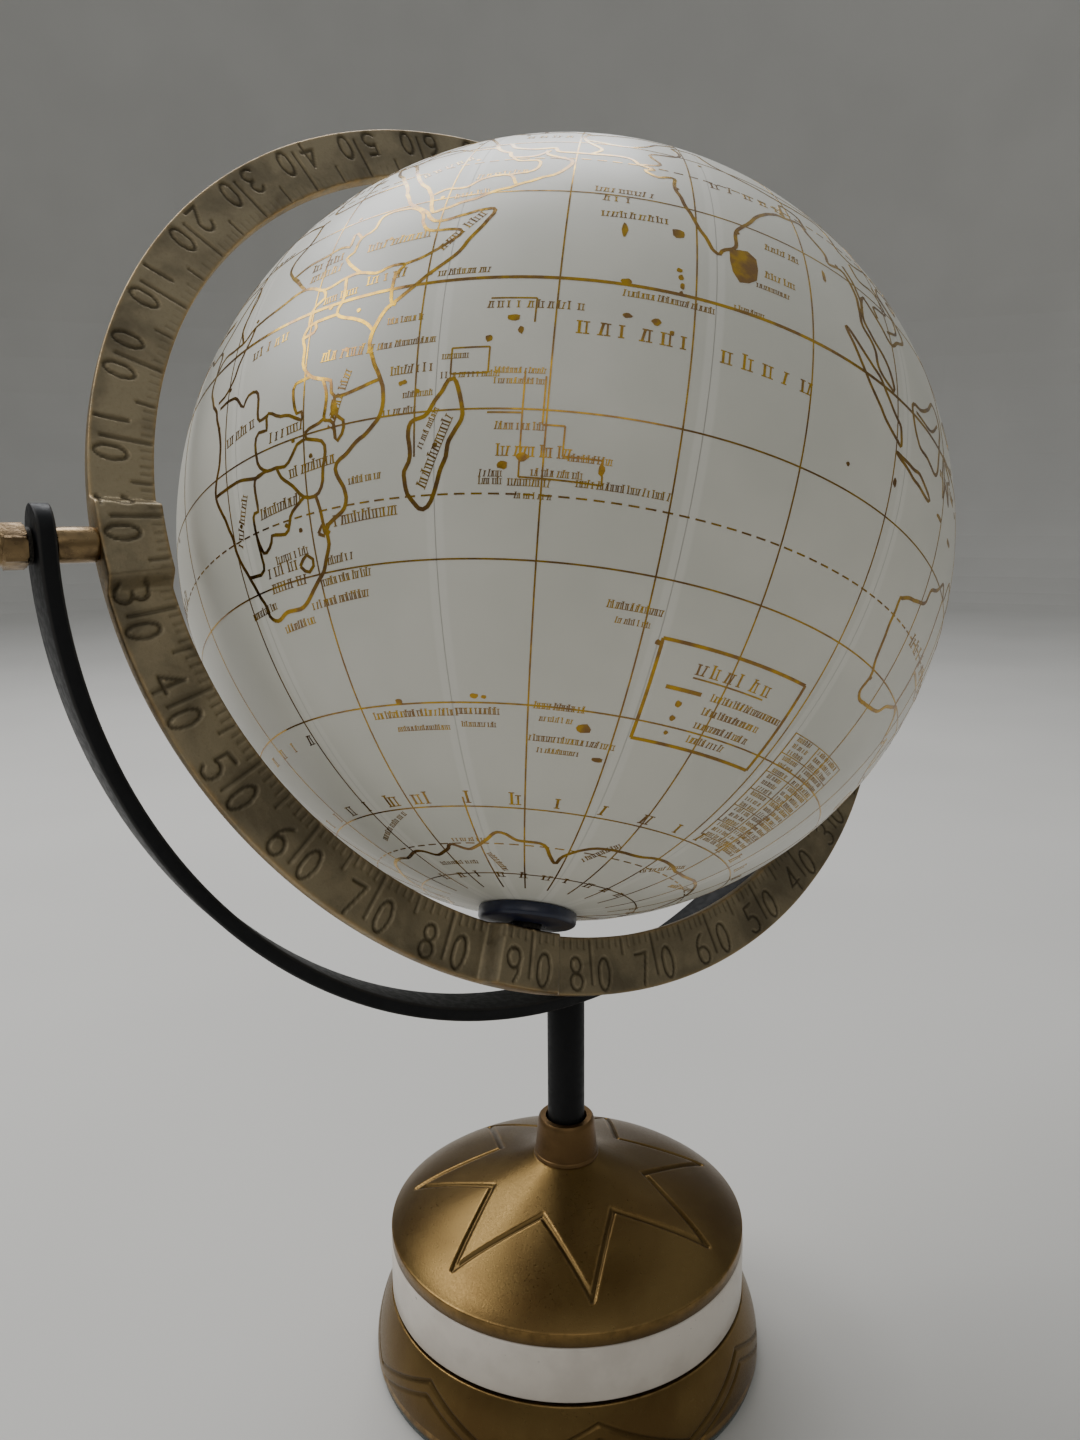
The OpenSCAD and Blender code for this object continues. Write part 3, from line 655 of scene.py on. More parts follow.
ISLANDS = [
    [95.4, 5.6, 98.6, 3.6, 101.6, 1.4, 104.4, -1.8, 106, -3.4, 105.8, -5.8, 102.2, -3.8, 99, -0.2],
    [105.2, -6.8, 108.6, -6.8, 111, -6.5, 114.4, -7.8, 114.4, -8.7, 109, -7.8], [109, 1.6, 111.4, 2.4,
     113.8, 4.4, 117, 7, 119, 5.2, 117.6, 1, 116.2, -3.8, 113, -3.2, 110.2, -2.8], [119.8, 0.6, 123, 1,
     125, 1.6, 120.4, 0.2, 123.2, -1, 121.6, -2, 122.6, -4.8, 120.6, -3, 119.6, -5.4, 118.9, -2.8],
    [131, -0.8, 134.2, -1, 135, -3.2, 138, -1.7, 144.4, -3.9, 147.6, -6, 150.6, -10.4, 147, -9.4,
     143.6, -8.6, 140, -8.2, 138, -5.6, 133.2, -4], [120.6, 18.5, 122.2, 18.3, 121.6, 15.8, 124, 13,
     120.9, 13.7, 120, 16], [122, 7, 123.6, 8.6, 125.6, 9.6, 126.4, 7, 125.2, 5.8], [130.2, 33.4, 131, 34.4,
     136, 35.8, 139.4, 38.4, 140.3, 41, 141.9, 39.4, 140.6, 35.6, 137, 34.6, 133.4, 34.3, 131.4, 31.4],
    [140.2, 41.6, 141.8, 45.4, 145.2, 43.4, 143.2, 42.1], [142, 46, 143.4, 49.4, 142.8, 54.2, 142.1, 50.6],
    [172.8, -40.6, 174.2, -41.7, 171, -44.6, 168.6, -46.6, 166.6, -45.6, 170.4, -43], [172.8, -34.6,
     175.4, -37, 178.4, -37.7, 176.8, -40, 175, -41.4, 174, -39.2, 174.8, -37.8], [144.8, -40.8,
     148.2, -40.8, 147.6, -43.2, 145.8, -43.2], [-5.4, 50, -3, 53.4, -5, 55.4, -5.2, 58.6, -2, 57.6, -3, 56,
     0.2, 53, 1.6, 52.4, 1, 51.2], [-10, 52, -9.8, 54.2, -7, 55.2, -5.8, 54.2, -6.4, 52.2], [-24, 65.4,
     -20, 66, -15, 66.2, -14, 64.6, -19, 63.5, -22.4, 64], [-84.8, 22, -80, 23, -74.4, 20.2, -77.6, 19.9],
    [-74.2, 18.6, -72.8, 19.9, -68.6, 18.6, -71.4, 17.8], [-80, 73.4, -72, 71.4, -62, 66.6, -66, 62.6,
     -72, 64.4, -73, 67.6, -84, 70.4], [-117, 70, -112, 73, -105, 72.6, -101.6, 69.2, -110, 68.8], [-90, 77,
     -82, 83, -64, 82.4, -78, 76.4], [52, 71.4, 56, 74.6, 68, 76.8, 58, 73, 55.6, 71], [11, 79.4, 20, 80.4,
     26, 79.8, 17, 76.8], [120.2, 23, 121.2, 25.2, 121.8, 24.8, 120.9, 22], [108.8, 19.4, 110.6, 20.1,
     110.4, 18.4], [-59.2, 47.8, -55.6, 51.4, -53, 47.4], [8.4, 39, 9.6, 41, 9.7, 39.3], [12.6, 38,
     15.4, 38.2, 15.1, 36.8], [47, 41, 49.4, 42, 47.6, 44.6, 49.4, 46.4, 53, 46.6, 51, 44.6, 53.4, 40.4,
     53.8, 37.2, 50.4, 37.4, 49, 39.2]]
ANTARCTICA = [
    -180, -78, -168, -84, -150, -77.6, -130, -74.4, -103, -74.8, -92, -73, -76, -73.6, -68, -68, -58, -63.4,
    -61, -66.6, -63, -73, -58, -77, -42, -78.4, -34, -77.6, -24, -74, -12, -71.4, 0, -69.6, 8, -70,
    17, -69.2, 24, -70.4, 31, -69.4, 34, -68.4, 40, -69.6, 47, -67.6, 52, -66, 57, -67, 60, -67.4,
    66, -67.8, 69, -69.8, 72, -71.4, 73.6, -69.8, 79, -68, 84, -66.8, 92, -66.6, 98, -66.4, 105, -66,
    112, -66.4, 120, -66.8, 132, -66.2, 143, -66.8, 152, -68.6, 162, -70.6, 170, -72, 164, -77, 168, -83,
    180, -78]
BORDERS = [
    [9.9, 1, 11.4, 2.3, 16.2, 2.1, 18.6, 3.6, 22.6, 4.2, 27.4, 5, 30.8, 3.6, 34, 4.2, 36, 4.4, 38, 3.7,
     40, 4.2, 42, 4.1, 41, 2.6, 41, -1, 41.6, -1.7], [42, 4.1, 45, 5, 48, 8, 44, 9, 42.8, 10.9, 42.4, 12.4,
     40, 14.4, 36.6, 14.2, 36, 12, 34.4, 10.8, 34, 8.4, 33, 7.8, 35, 5.4, 36, 4.4], [24, 8.6, 26.8, 9.6,
     29.4, 9.9, 31.6, 10.2, 33, 9.8, 33, 12.2, 34.4, 10.8], [24, 8.6, 25, 7.8, 27.4, 5, 24, 8.6], [34, 4.2,
     34.4, 1.2, 33.9, -1, 37.6, -3, 39.2, -4.6], [33.9, -1, 30.6, -1.1, 29.6, -1.4, 29.8, 1, 31.3, 2.3,
     30.8, 3.6], [29.6, -1.4, 29, -2.8, 29.4, -4.5, 29.6, -6.6, 30.8, -8.3, 32.8, -9.2, 34, -9.6,
     34.6, -11.5, 37.4, -11.7, 40.5, -10.8], [29, -2.8, 30.8, -2.3, 30.6, -1.1], [30.8, -8.3, 28.6, -8.6,
     28.4, -9.8, 29, -12.2, 29.8, -12.2, 29.8, -13.4, 28, -12.3, 26, -11.9, 24, -11, 23.9, -13, 22, -13,
     21.9, -16.2, 23.4, -17.6, 25.3, -17.8, 27, -17.9, 28.9, -15.9, 30.4, -15.7, 30.2, -15], [24, -11,
     22.2, -11.1, 21.8, -7.3, 19.6, -7, 18.8, -8, 16.6, -5.9, 13, -5.9], [12.3, -4.8, 14.4, -4.4, 16, -3,
     16.6, -1.2, 18, 1.4, 18.6, 3.6], [34.6, -11.5, 34.6, -13.6, 35.8, -14.8, 35.6, -16.2, 34.8, -16.8,
     34.4, -14.6, 33, -14, 33.3, -11.4, 32.8, -9.2], [34.4, -12, 34.9, -13.6, 34.6, -14.4, 34.3, -13,
     34.4, -12], [30.2, -15, 33, -14], [30.4, -15.7, 32.9, -16.8, 32.8, -19.6, 32.4, -21.4, 31.3, -22.4,
     29.4, -22.2, 27.6, -20.6, 26, -19.2, 25.3, -17.8], [31.3, -22.4, 31.8, -24, 32, -26, 32.8, -26.8],
    [29.4, -22.2, 27, -23.6, 25.6, -25.6, 23, -25.3, 22.6, -26.2, 20.8, -26.9, 20, -24.8, 20, -22,
     21, -21.9, 21, -18.3, 23.4, -17.7], [20, -24.8, 20, -28.4, 17.4, -28.8, 16.5, -28.7], [11.8, -17.3,
     14, -17.4, 18.4, -17.4, 21.4, -17.9, 23.4, -17.6], [27, -29.6, 28.4, -28.7, 29.4, -29.6, 28.2, -30.5,
     27, -29.6], [31, -26.6, 31.8, -25.9, 32, -27.1, 31, -26.6], [22.2, 31.5, 25, 29, 25, 22, 31, 22,
     36.8, 22], [25, 20, 24, 19.6, 24, 15.6, 22.6, 13, 22.4, 10.8, 24, 8.6], [11.6, 33, 9.6, 30.2, 10, 26.4,
     12, 23.6, 15, 23, 24, 19.6], [-1.8, 35, -2, 32.2, -8.6, 28.8, -8.6, 27.4, -4.8, 25, 3.2, 19.2,
     4.2, 16.8, 0, 15, -3.6, 13.4, -5.2, 10.4, -8, 10.2, -8.4, 7.4, -7.6, 4.4], [12, 23.6, 5.8, 19.4,
     4.2, 16.8, 3.6, 11.8, 6.6, 13.6, 13.4, 13.6, 15, 16.6, 15, 23], [8.6, 4.8, 10.6, 7, 13.4, 11,
     14.4, 12.8, 15.6, 10, 14.6, 5.4, 16.2, 2.1], [35, 29.4, 36, 29.2, 37.4, 31.4, 39.2, 32.1, 42, 31.2,
     44.8, 29.2, 47.4, 29, 48.4, 28.5], [42.8, 16.4, 44.4, 17.4, 47, 16.9, 49, 18.6, 52, 19, 53.2, 16.6],
    [52, 19, 55, 20, 55.2, 22.6, 52.6, 22.9, 51.6, 24.1], [35.9, 33, 38.8, 33.4, 39.2, 32.1], [38.8, 33.4,
     41, 34.4, 42.4, 37.1, 36.6, 36.8], [42.4, 37.1, 44.8, 37.2, 46, 35, 47.8, 31, 48.6, 30], [44.8, 37.2,
     44.8, 39.6, 43.6, 41.1, 41.6, 41.5], [54, 37.3, 57, 38.2, 61, 36.6, 60.6, 34, 61, 31.4, 61.8, 29.6,
     63.2, 27.2, 61.7, 25.2], [61, 31.4, 66.4, 29.8, 69.4, 31.8, 71.4, 34.6, 74.8, 37.2, 70, 37.8,
     66.6, 37.4, 61.2, 35.4], [68.2, 23.7, 71, 25, 70, 28, 73.8, 30, 74.4, 32.4, 74, 35, 77.8, 35.4,
     79, 32.6, 81, 30.3, 88, 27.8, 92, 27.8, 97.2, 28.2, 98.6, 25.6, 99, 22.2, 101.6, 21.2, 105.6, 23,
     108, 21.6], [88.8, 21.7, 88.8, 25.2, 89.8, 26, 92, 25, 92.4, 22], [97.8, 18, 98.8, 15.4, 99.4, 11.8,
     98.8, 10.2], [100.2, 20.4, 101, 17.6, 104.4, 17.6, 105.6, 14.4, 102.6, 13.6, 102.8, 11.8], [104.6, 19,
     107.4, 15.6, 107.4, 12.4, 104.6, 10.6], [80.2, 42, 87.8, 49, 98, 50.4, 106, 50.2, 116.4, 49.8,
     119.8, 53, 126, 53, 131, 47.8, 135, 48.4, 131.2, 43], [87.8, 49, 91, 46, 96, 42.8, 105, 41.8,
     111.8, 44, 119.8, 46.8, 116.4, 49.8], [49, 46.4, 50, 50.6, 55, 51, 61, 50.8, 61.4, 54, 71, 54.2,
     77, 53.4, 80, 50.8, 87.8, 49], [22, 39, 28, 41.8], [22.6, 44.4, 28.4, 43.8], [24, 55, 30.8, 51.4,
     34, 52, 39.8, 49.6, 38.4, 47.1], [27.4, 57.6, 28, 59.4], [30, 62.8, 28.6, 68.4, 24, 68.6, 24, 65.8],
    [12.2, 63.8, 18, 68.4], [12, 59.2, 12.2, 63.8], [14.4, 53.8, 15, 51, 18.8, 49.6, 22.6, 49, 23.6, 51.6,
     23.6, 54], [7, 53.4, 6.2, 49.6, 8.2, 48, 7, 45.8, 7.5, 43.8], [-1.8, 43.4, 3.1, 42.4], [-8.8, 41.9,
     -7, 41.6, -7.4, 37.2], [9.6, 47.4, 13, 47.6, 13.6, 46.4, 10.4, 46.6], [-141, 69.6, -141, 60.4,
     -130, 55.2], [-123, 49, -95, 49, -88, 48.2, -82.6, 45.4, -79, 43.2, -74.8, 45, -70, 47.2, -67, 45],
    [-117, 32.6, -111, 31.4, -106.4, 31.8, -101, 29.4, -97.2, 26], [-92.2, 14.6, -90.4, 17.8, -89.2, 17.9],
    [-87.4, 13, -83.2, 15], [-79, 1.4, -70, -4, -73, -9.8, -69.6, -12, -65.4, -10, -60, -13.8, -58, -20,
     -54.6, -25.6, -53.8, -27, -57.6, -30.2], [-69.6, -12, -70.2, -17.6, -67.8, -22.8, -62.6, -22.2,
     -58, -20], [-67.8, -22.8, -70, -31, -71.4, -38, -72, -47, -72.2, -52], [-72, 11.8, -72.4, 7.4,
     -67.4, 6, -67, 1.4, -70, -4], [-67, 1.4, -60, 5, -60.6, 2.2, -52, 3.6], [141, -2.6, 141, -9],
    [109.8, 1.4, 114.4, 1.4, 117.6, 4.2], [129, -15, 129, -31.6], [138, -16.6, 138, -26, 141, -26,
     141, -38], [129, -26, 138, -26], [141, -29, 153.4, -28.4]]
# Latitudes of the parallels, one each 15 degrees: the southern ones lie a little off round values
PARALLELS = [-75, -61.5, -47, -31, -15.2, 15, 30, 45, 60, 75]
# Low gold islands: longitude, latitude, half width and half height in mm
SPOTS = [
    57.6, -20.3, 1.5, 1.1, 55.4, -21.2, 1.3, 1, 66.6, -21, 0.8, 1.4, 77.5, -37.8, 0.9, 0.7,
    69.6, -49.2, 1.9, 1.3, 73.4, -53, 1.5, 0.7, 51.2, -46.2, 1.1, 0.7, 52.8, -46.3, 0.7, 0.5,
    37.9, -46.7, 1, 0.9, 55.5, -4.7, 1.6, 0.9, 56.4, -6.2, 0.7, 1, 53, -7.2, 0.9, 0.9, 67.2, 1, 1.4, 1,
    67.6, -3.4, 1.2, 0.7, 70.8, -3.6, 1.2, 1, 72.6, -4.6, 0.6, 0.7, 73, 4, 0.8, 0.7, 73.2, 3, 0.7, 0.9,
    73.4, 1.8, 0.6, 1, 73.3, 0.8, 0.5, 0.7, 80.8, 7.6, 4.2, 6.2, 43.6, -11.6, 0.8, 0.6,
    45.2, -12.8, 0.7, 0.6, 105.6, -10.6, 0.8, 1.3, 96.8, -12.2, 0.6, 0.6, 66.6, 8.8, 0.8, 2.6,
    72.8, 9.8, 1.7, 1.7, -14.2, -8, 0.6, 0.6, -5.7, -16, 0.7, 0.7, -24, 15, 1, 1.2, -59, -51.7, 1.9, 1,
    -36.6, -54.4, 1.6, 0.7, 165.5, -21.4, 2, 0.8, 178, -17.8, 1.1, 0.9, -155.6, 19.6, 1.2, 1.1,
    -157.8, 21.4, 0.7, 0.5, -149.5, -17.6, 0.8, 0.6, -91, -0.6, 1.1, 1.2, -66.4, 18.2, 1.2, 0.6,
    -61, 14, 0.6, 1.4, -28, 38.5, 1.4, 0.6, -16, 28.3, 1.6, 0.7, 160, -9.4, 2.2, 0.8, 151.6, -5.6, 2.6, 1,
    167.6, -46.9, 0.8, 0.7, 92.8, 12.4, 0.6, 2.4, 128.4, -3, 1.6, 0.7, 125, -9, 2.4, 0.8,
    119, -8.6, 2.6, 0.7]
# Towns inland: longitude, latitude
TOWNS = [
    39, 9, 36.8, -1.3, 35.8, -6.2, 31, -17.8, 28.3, -15.4, 25.9, -24.7, 47.5, -18.9, 13.2, -8.8, 32.6, 0.3,
    15.3, -4.3, 32.5, 15.6, 31.2, 30, 44.2, 15.4, 46.7, 24.6, 58.4, 23.6, 51.4, 35.7, 44.4, 33.3,
    17.1, -22.6, 28.2, -25.7, 77.2, 28.6, 72.9, 19, 80.3, 13.1, 88.4, 22.6, 96.2, 16.8, 100.5, 13.8,
    116.4, 39.9, 121.5, 31.2, 37.6, 55.8, 2.3, 48.9, -0.1, 51.5, 12.5, 41.9, -3.7, 40.4, 115.9, -32,
    151.2, -33.9, 145, -37.8, 133.9, -23.7, -77, 38.9, -99.1, 19.4, -47.9, -15.8, -58.4, -34.6, -77, -12,
    -74.1, 4.6, -118.2, 34, -87.6, 41.9, 3.4, 6.5, -17.4, 14.7, 18.6, 4.4, 43.2, -11.7, 32.6, -25.9, 45.3, 2]
# Names are only hinted at: longitude, latitude, marks, height and pitch in mm, slant of the row in degrees
NAMES = [
    62.6, -6.2, 6, 4, 5, 0, 78.6, -6.6, 5, 4, 5.6, 0, 52.6, -3.4, 10, 2.2, 2.4, 0, 64, 10.8, 8, 2.4, 2.3, 2,
    46.3, -23.4, 10, 2.4, 1.8, 68, 45.9, -19.2, 10, 1.4, 1.05, 66, 54.8, -20.2, 9, 2.7, 2.05, 0,
    58.8, -22.2, 10, 1.7, 1.2, 0, 52.8, -22.4, 5, 1.6, 1.1, 0, 52.8, -23.2, 5, 1.6, 1.1, 0,
    56.2, -23.3, 7, 1.9, 1.4, 0, 57, -24.6, 8, 1.4, 1.1, 0, 64, -23, 19, 1.8, 1.2, 0,
    20.8, -29.8, 5, 2.8, 2.6, 0, 20.8, -31.6, 6, 2.8, 2.4, 0, 24.6, -60.9, 8, 4, 11.6, 0,
    108, -60.9, 5, 4, 11.6, 0, -60, -60.9, 12, 4, 9, 0, 12, -75.9, 10, 3.2, 6.2, 0,
    150, -75.9, 10, 3.2, 6.2, 0, 36.2, 7.7, 8, 2.7, 2.3, 2, 37.4, 2.1, 5, 2.7, 2.5, 2,
    32.4, -6.9, 8, 2.8, 2, -4, 48, 18.6, 6, 2.4, 2.4, 6, 46, 14.6, 5, 2, 2, 8, 20, -2.2, 5, 2.8, 3, 4,
    15.6, -12.2, 6, 2.8, 2.2, 6, 24.4, -14.6, 6, 2.6, 2.2, 3, 27.6, -19.6, 8, 2.6, 2, 3,
    21.6, -23, 8, 2.6, 1.9, 3, 16.6, -25, 7, 2.4, 2, 66, 27.8, 7.8, 5, 2.6, 2.4, 2, 28, 5.9, 5, 2.6, 2.4, 2,
    31.4, 1.2, 6, 2.3, 1.8, 2, 33.8, -26.2, 9, 2.6, 2, 2, 23, -28.6, 7, 2, 1.7, 2,
    31.8, -30.2, 6, 2, 1.4, 3, 30.4, -32.4, 11, 2, 1.3, 3, 27.6, -34.7, 14, 2, 1.25, 3,
    21, -36.4, 9, 1.9, 1.25, 3, 14.8, -33.6, 9, 1.9, 1.2, 3, 36.4, -22, 8, 1.7, 1.2, 2,
    34.4, -15.4, 9, 2.2, 1.7, 70, 46.4, 1.4, 10, 1.9, 1.3, 0, 46.4, 5.4, 7, 2.4, 2.3, 52,
    41, -4.2, 8, 1.7, 1.2, 0, 40, -7.2, 13, 1.7, 1.2, 0, 42, -10.6, 7, 2.2, 1.7, 0,
    43.6, -13.4, 7, 1.5, 1.1, 0, 41.2, -15.2, 7, 1.8, 1.3, 0, 48, -9.4, 6, 1.5, 1.1, 0,
    48, -11.6, 13, 1.5, 1.1, 0, 54, -11.2, 12, 1.4, 1, 0, 54, -12.4, 12, 1.4, 1, 0,
    54.4, -17.4, 9, 1.8, 1.3, 0, 62.8, -20.4, 9, 1.7, 1.15, 0, 69.6, -35, 12, 1.8, 1.2, 0,
    71, -36.5, 8, 1.4, 1.1, 0, 61, -47.3, 11, 1.8, 1.2, 0, 62, -48.8, 8, 1.4, 1.1, 0,
    60.4, -51.4, 18, 1.8, 1.2, 0, 62, -52.9, 11, 1.4, 1, 0, 48, -48.4, 9, 1.9, 1.2, 0,
    48.6, -50, 8, 1.4, 1.1, 0, 32.2, -48.6, 21, 1.9, 1.15, 0, 36, -50.4, 14, 1.4, 1.05, 0,
    67, -0.9, 19, 1.8, 1.2, 0, 79.6, 0.6, 7, 1.6, 1.2, 0, 83.6, 7, 5, 2.2, 1.9, 0, 82.4, 5, 8, 1.6, 1.2, 0,
    84, 12, 6, 2.2, 1.8, 0, 63, 15.6, 8, 2.2, 2, 0, 64, 13.8, 3, 2.4, 3, 0, 9, -66.2, 14, 1.7, 1.3, 28,
    36, -67.8, 8, 1.6, 1.2, 0, 22, -72.6, 9, 1.6, 1.4, 0, 46, -70.4, 8, 1.6, 1.2, -70,
    82, -70, 9, 1.9, 1.3, 58, 106, -69.4, 10, 1.8, 1.3, 40, 128, -69.6, 10, 1.8, 1.3, 20,
    -6, -50, 4, 3.4, 9, 0, 78, 22, 5, 3.4, 5, 4, 98, 33, 5, 3.6, 7, 0, 60, 60, 6, 4, 9, 0,
    110, 60, 6, 3.4, 6, 0, 52, 33, 4, 2.8, 3.6, 0, 102, 46, 8, 2.4, 2, 0, 122, -25, 9, 3.6, 5, 0,
    118, -3, 9, 2.2, 2.2, 0, -110, 42, 13, 3.2, 5.2, 0, -112, 58, 6, 3.8, 8, 0, -60, -10, 6, 3.4, 5, 0,
    -66, -36, 9, 2.4, 2, 74, -104, 24, 6, 2.6, 2.6, -30, -170, 8, 7, 4, 9, 0, -165, 2, 5, 4, 9, 0,
    -40, 26, 8, 4, 5, 0, -36, 20, 5, 4, 5, 0, -26, -24, 8, 4, 5, 0, -150, -30, 7, 4, 8, 0,
    165, -36, 6, 2.4, 2.4, 0, 18, 26, 5, 2.6, 2.4, 0, 2, 28, 7, 2.6, 2.6, 0, 6, 16, 5, 2.4, 2.4, 0,
    16, 15, 4, 2.4, 2.6, 0, 4, 9, 7, 2.2, 1.9, 0, 26, 26, 5, 2.4, 2.4, 0, 40, 22, 5, 2.6, 3.2, 30,
    10, 64, 6, 2.2, 2, 50, 22, 48, 7, 2.4, 2.2, 0, -48, 74, 9, 3.2, 3, 0]
# Straight printed lines and boxes out at sea: longitude, latitude pairs
INSETS = [
    [49, -8.2, 53.2, -8.2, 53.2, -11.2, 49, -11.2, 49, -8.2], [57.3, -11, 57.3, -22.4, 66.8, -22.6,
     66.6, -20, 62.1, -20, 62.1, -16.8, 59.6, -16.8, 59.6, -11.5], [52.8, -2.2, 57.8, -2.2, 57.8, -5.2],
    [53.4, -15.6, 57.4, -15.6]]
LEGEND = (78.0, 103.2, -49.3, -37.2)
LEGEND_NAMES = [
    84.6, -40.3, 6, 3.3, 4, 0, 88.6, -42.8, 20, 1.9, 1.15, 0, 88.2, -44.6, 15, 1.9, 1.2, 0,
    88, -46.4, 14, 1.9, 1.2, 0, 88, -48.3, 9, 1.9, 1.2, 0]
TABLE = (107.5, 127.0, -59.5, -42.5)


def pairs(numbers):
    """A flat list of longitude, latitude as an array of pairs."""
    return np.array(numbers, float).reshape(-1, 2)


def directions(path):
    """Unit vectors in the row frame of longitudes and latitudes in degrees, on the map as it is turned."""
    longitude, latitude = np.radians(path[..., 0]) + settings("map").turn, np.radians(path[..., 1])
    local = [np.cos(latitude) * np.cos(longitude), np.cos(latitude) * np.sin(longitude), np.sin(latitude)]
    return np.stack(local, -1) @ BALL_FRAME[1]


def smooth(path, step_mm, closed):
    """The path as a Catmull-Rom curve through its points, read off about every step_mm along the ball."""
    if closed:
        path = np.concatenate([path[-1:], path, path[:2]])
    else:
        path = np.concatenate([2 * path[:1] - path[1:2], path, 2 * path[-1:] - path[-2:-1]])
    inner = directions(path[1:-1])
    spans = np.linalg.norm(np.diff(inner, axis=0), axis=1) * BALL_R / MM
    along = np.concatenate([[0], np.cumsum(spans)])
    count = max(int(along[-1] / step_mm), 4)
    place = np.interp(np.linspace(0, along[-1], count + 1), along, np.arange(len(along)))
    if closed:
        place = place[:-1]
    span_number = np.minimum(place.astype(int), len(path) - 4)
    t = (place - span_number)[:, None]
    a, b, c, d = (path[span_number + i] for i in range(4))
    square, cube = 2 * a - 5 * b + 4 * c - d, 3 * b - a - 3 * c + d
    return 0.5 * (2 * b + (c - a) * t + square * t ** 2 + cube * t ** 3)


def wander(count, step_mm, sizes, random, closed):
    """A coast's sideways wander along its length: random heights every few mm, joined by slopes, summed."""
    total = np.zeros(count)
    for wave_mm, height_mm in sizes:
        knots = max(int(count * step_mm / wave_mm), 3)
        heights = random.uniform(-height_mm, height_mm, knots + 1)
        if closed:
            heights[-1] = heights[0]
        else:
            heights[[0, -1]] = 0
        along = np.arange(count) * knots / (count if closed else count - 1)
        total += np.interp(along, np.arange(knots + 1), heights)
    return total


def ribbon(towards, width, closed=False):
    """A flat foil strip along unit vectors: four corners a point, above and in the paper."""
    if closed:
        ahead = np.roll(towards, -1, 0) - np.roll(towards, 1, 0)
    else:
        ahead = np.gradient(towards, axis=0)
    side = unit(np.cross(towards, ahead)) * (width / 2)
    top = towards * (BALL_R + settings("map").foil)
    sunk = towards * FOIL_SUNK_R
    grid = BALL + np.stack([top + side, top - side, sunk - side, sunk + side], 1)
    return outward(looped(grid) if closed else capped(grid))


def foil_line(numbers, width, closed=False, step_mm=1.2, coast=None, random=None):
    """A foil strip along an outline; coast lists the wander's (wave, height) pairs in mm."""
    path = smooth(pairs(numbers), step_mm, closed)
    if coast:
        aside = wander(len(path), step_mm, coast, random, closed) * MM / BALL_R
        ahead = np.roll(path, -1, 0) - np.roll(path, 1, 0) if closed else np.gradient(path, axis=0)
        ahead[:, 0] *= np.cos(np.radians(path[:, 1]))
        normal = unit(np.stack([-ahead[:, 1], ahead[:, 0]], -1) + 1e-12)
        normal[:, 0] /= np.maximum(np.cos(np.radians(path[:, 1])), 0.15)
        path = path + np.degrees(aside)[:, None] * normal
    return ribbon(directions(path), width, closed)


def parallel(latitude, width, start=-180.0, end=180.0):
    """A foil strip along a parallel from one longitude to another, whole if they are a full turn apart."""
    closed = end - start >= 360
    count = max(int((end - start) * 1.5 * np.cos(np.radians(latitude))), 8)
    longitude = np.linspace(start, end, count, endpoint=not closed)
    return ribbon(directions(np.stack([longitude, 0 * longitude + latitude], -1)), width, closed)


def meridian(longitude, width, start, end):
    """A foil strip along a meridian from one latitude to another."""
    latitude = np.linspace(start, end, max(int(abs(end - start) * 0.8), 3))
    return ribbon(directions(np.stack([0 * latitude + longitude, latitude], -1)), width)


def dashes(latitude, width, dash_mm=2.6, gap_mm=1.5):
    """A dashed parallel: bars of dash_mm with gap_mm between them."""
    around = FULL * BALL_R / MM * np.cos(np.radians(latitude))
    count = int(around / (dash_mm + gap_mm))
    west = -180.0 + 360.0 * np.arange(count) / count
    east = west + 360.0 / count * dash_mm / (dash_mm + gap_mm)
    level = np.full(count, float(latitude))
    return bars(*(directions(np.stack([end, level], -1)) for end in (west, east)), width)


def bars(start, end, width):
    """Many short straight foil bars at once, each a six-sided box from a start to an end direction."""
    width = np.broadcast_to(width, (len(start),))[:, None]
    side = unit(np.cross(start, end - start)) * width / 2
    high, low = BALL_R + settings("map").foil, FOIL_SUNK_R
    corners = np.stack([
        start * high + side, start * high - side, end * high - side, end * high + side,
        start * low + side, start * low - side, end * low - side, end * low + side], 1)
    box = np.array([[0, 1, 2, 3], [4, 7, 6, 5], [0, 4, 5, 1], [1, 5, 6, 2], [2, 6, 7, 3], [3, 7, 4, 0]])
    quads = (np.arange(len(start))[:, None, None] * 8 + box).reshape(-1, 4)
    return outward((BALL + corners.reshape(-1, 3), quads, np.zeros((0, 3), int)))


def spots(rows):
    """Low foil blobs: a 10-sided disc at each longitude, latitude, of half width and half height in mm."""
    rows = np.array(rows, float).reshape(-1, 4)
    middle = directions(rows[:, :2])
    east = unit(np.cross(POLE, middle))
    north = np.cross(middle, east)
    turn = np.linspace(0, FULL, 10, endpoint=False)
    lumpy = 1 + 0.07 * np.sin(3 * turn + 7 * rows[:, :1]) + 0.09 * np.sin(4 * turn + 3 * rows[:, 1:2])
    high, low = BALL_R + settings("map").foil, FOIL_SUNK_R

    def loops(share, radius):
        aside = east[:, None] * (rows[:, 2, None] * lumpy * np.cos(turn))[..., None] * MM
        upward = north[:, None] * (rows[:, 3, None] * lumpy * np.sin(turn))[..., None] * MM
        return unit(middle[:, None] * BALL_R + share * (aside + upward)) * radius
    grids = np.stack([loops(0.1, high), loops(0.55, high), loops(1.0, high), loops(1.0, low)], 1)
    return joined([outward(capped(BALL + grid)) for grid in grids])


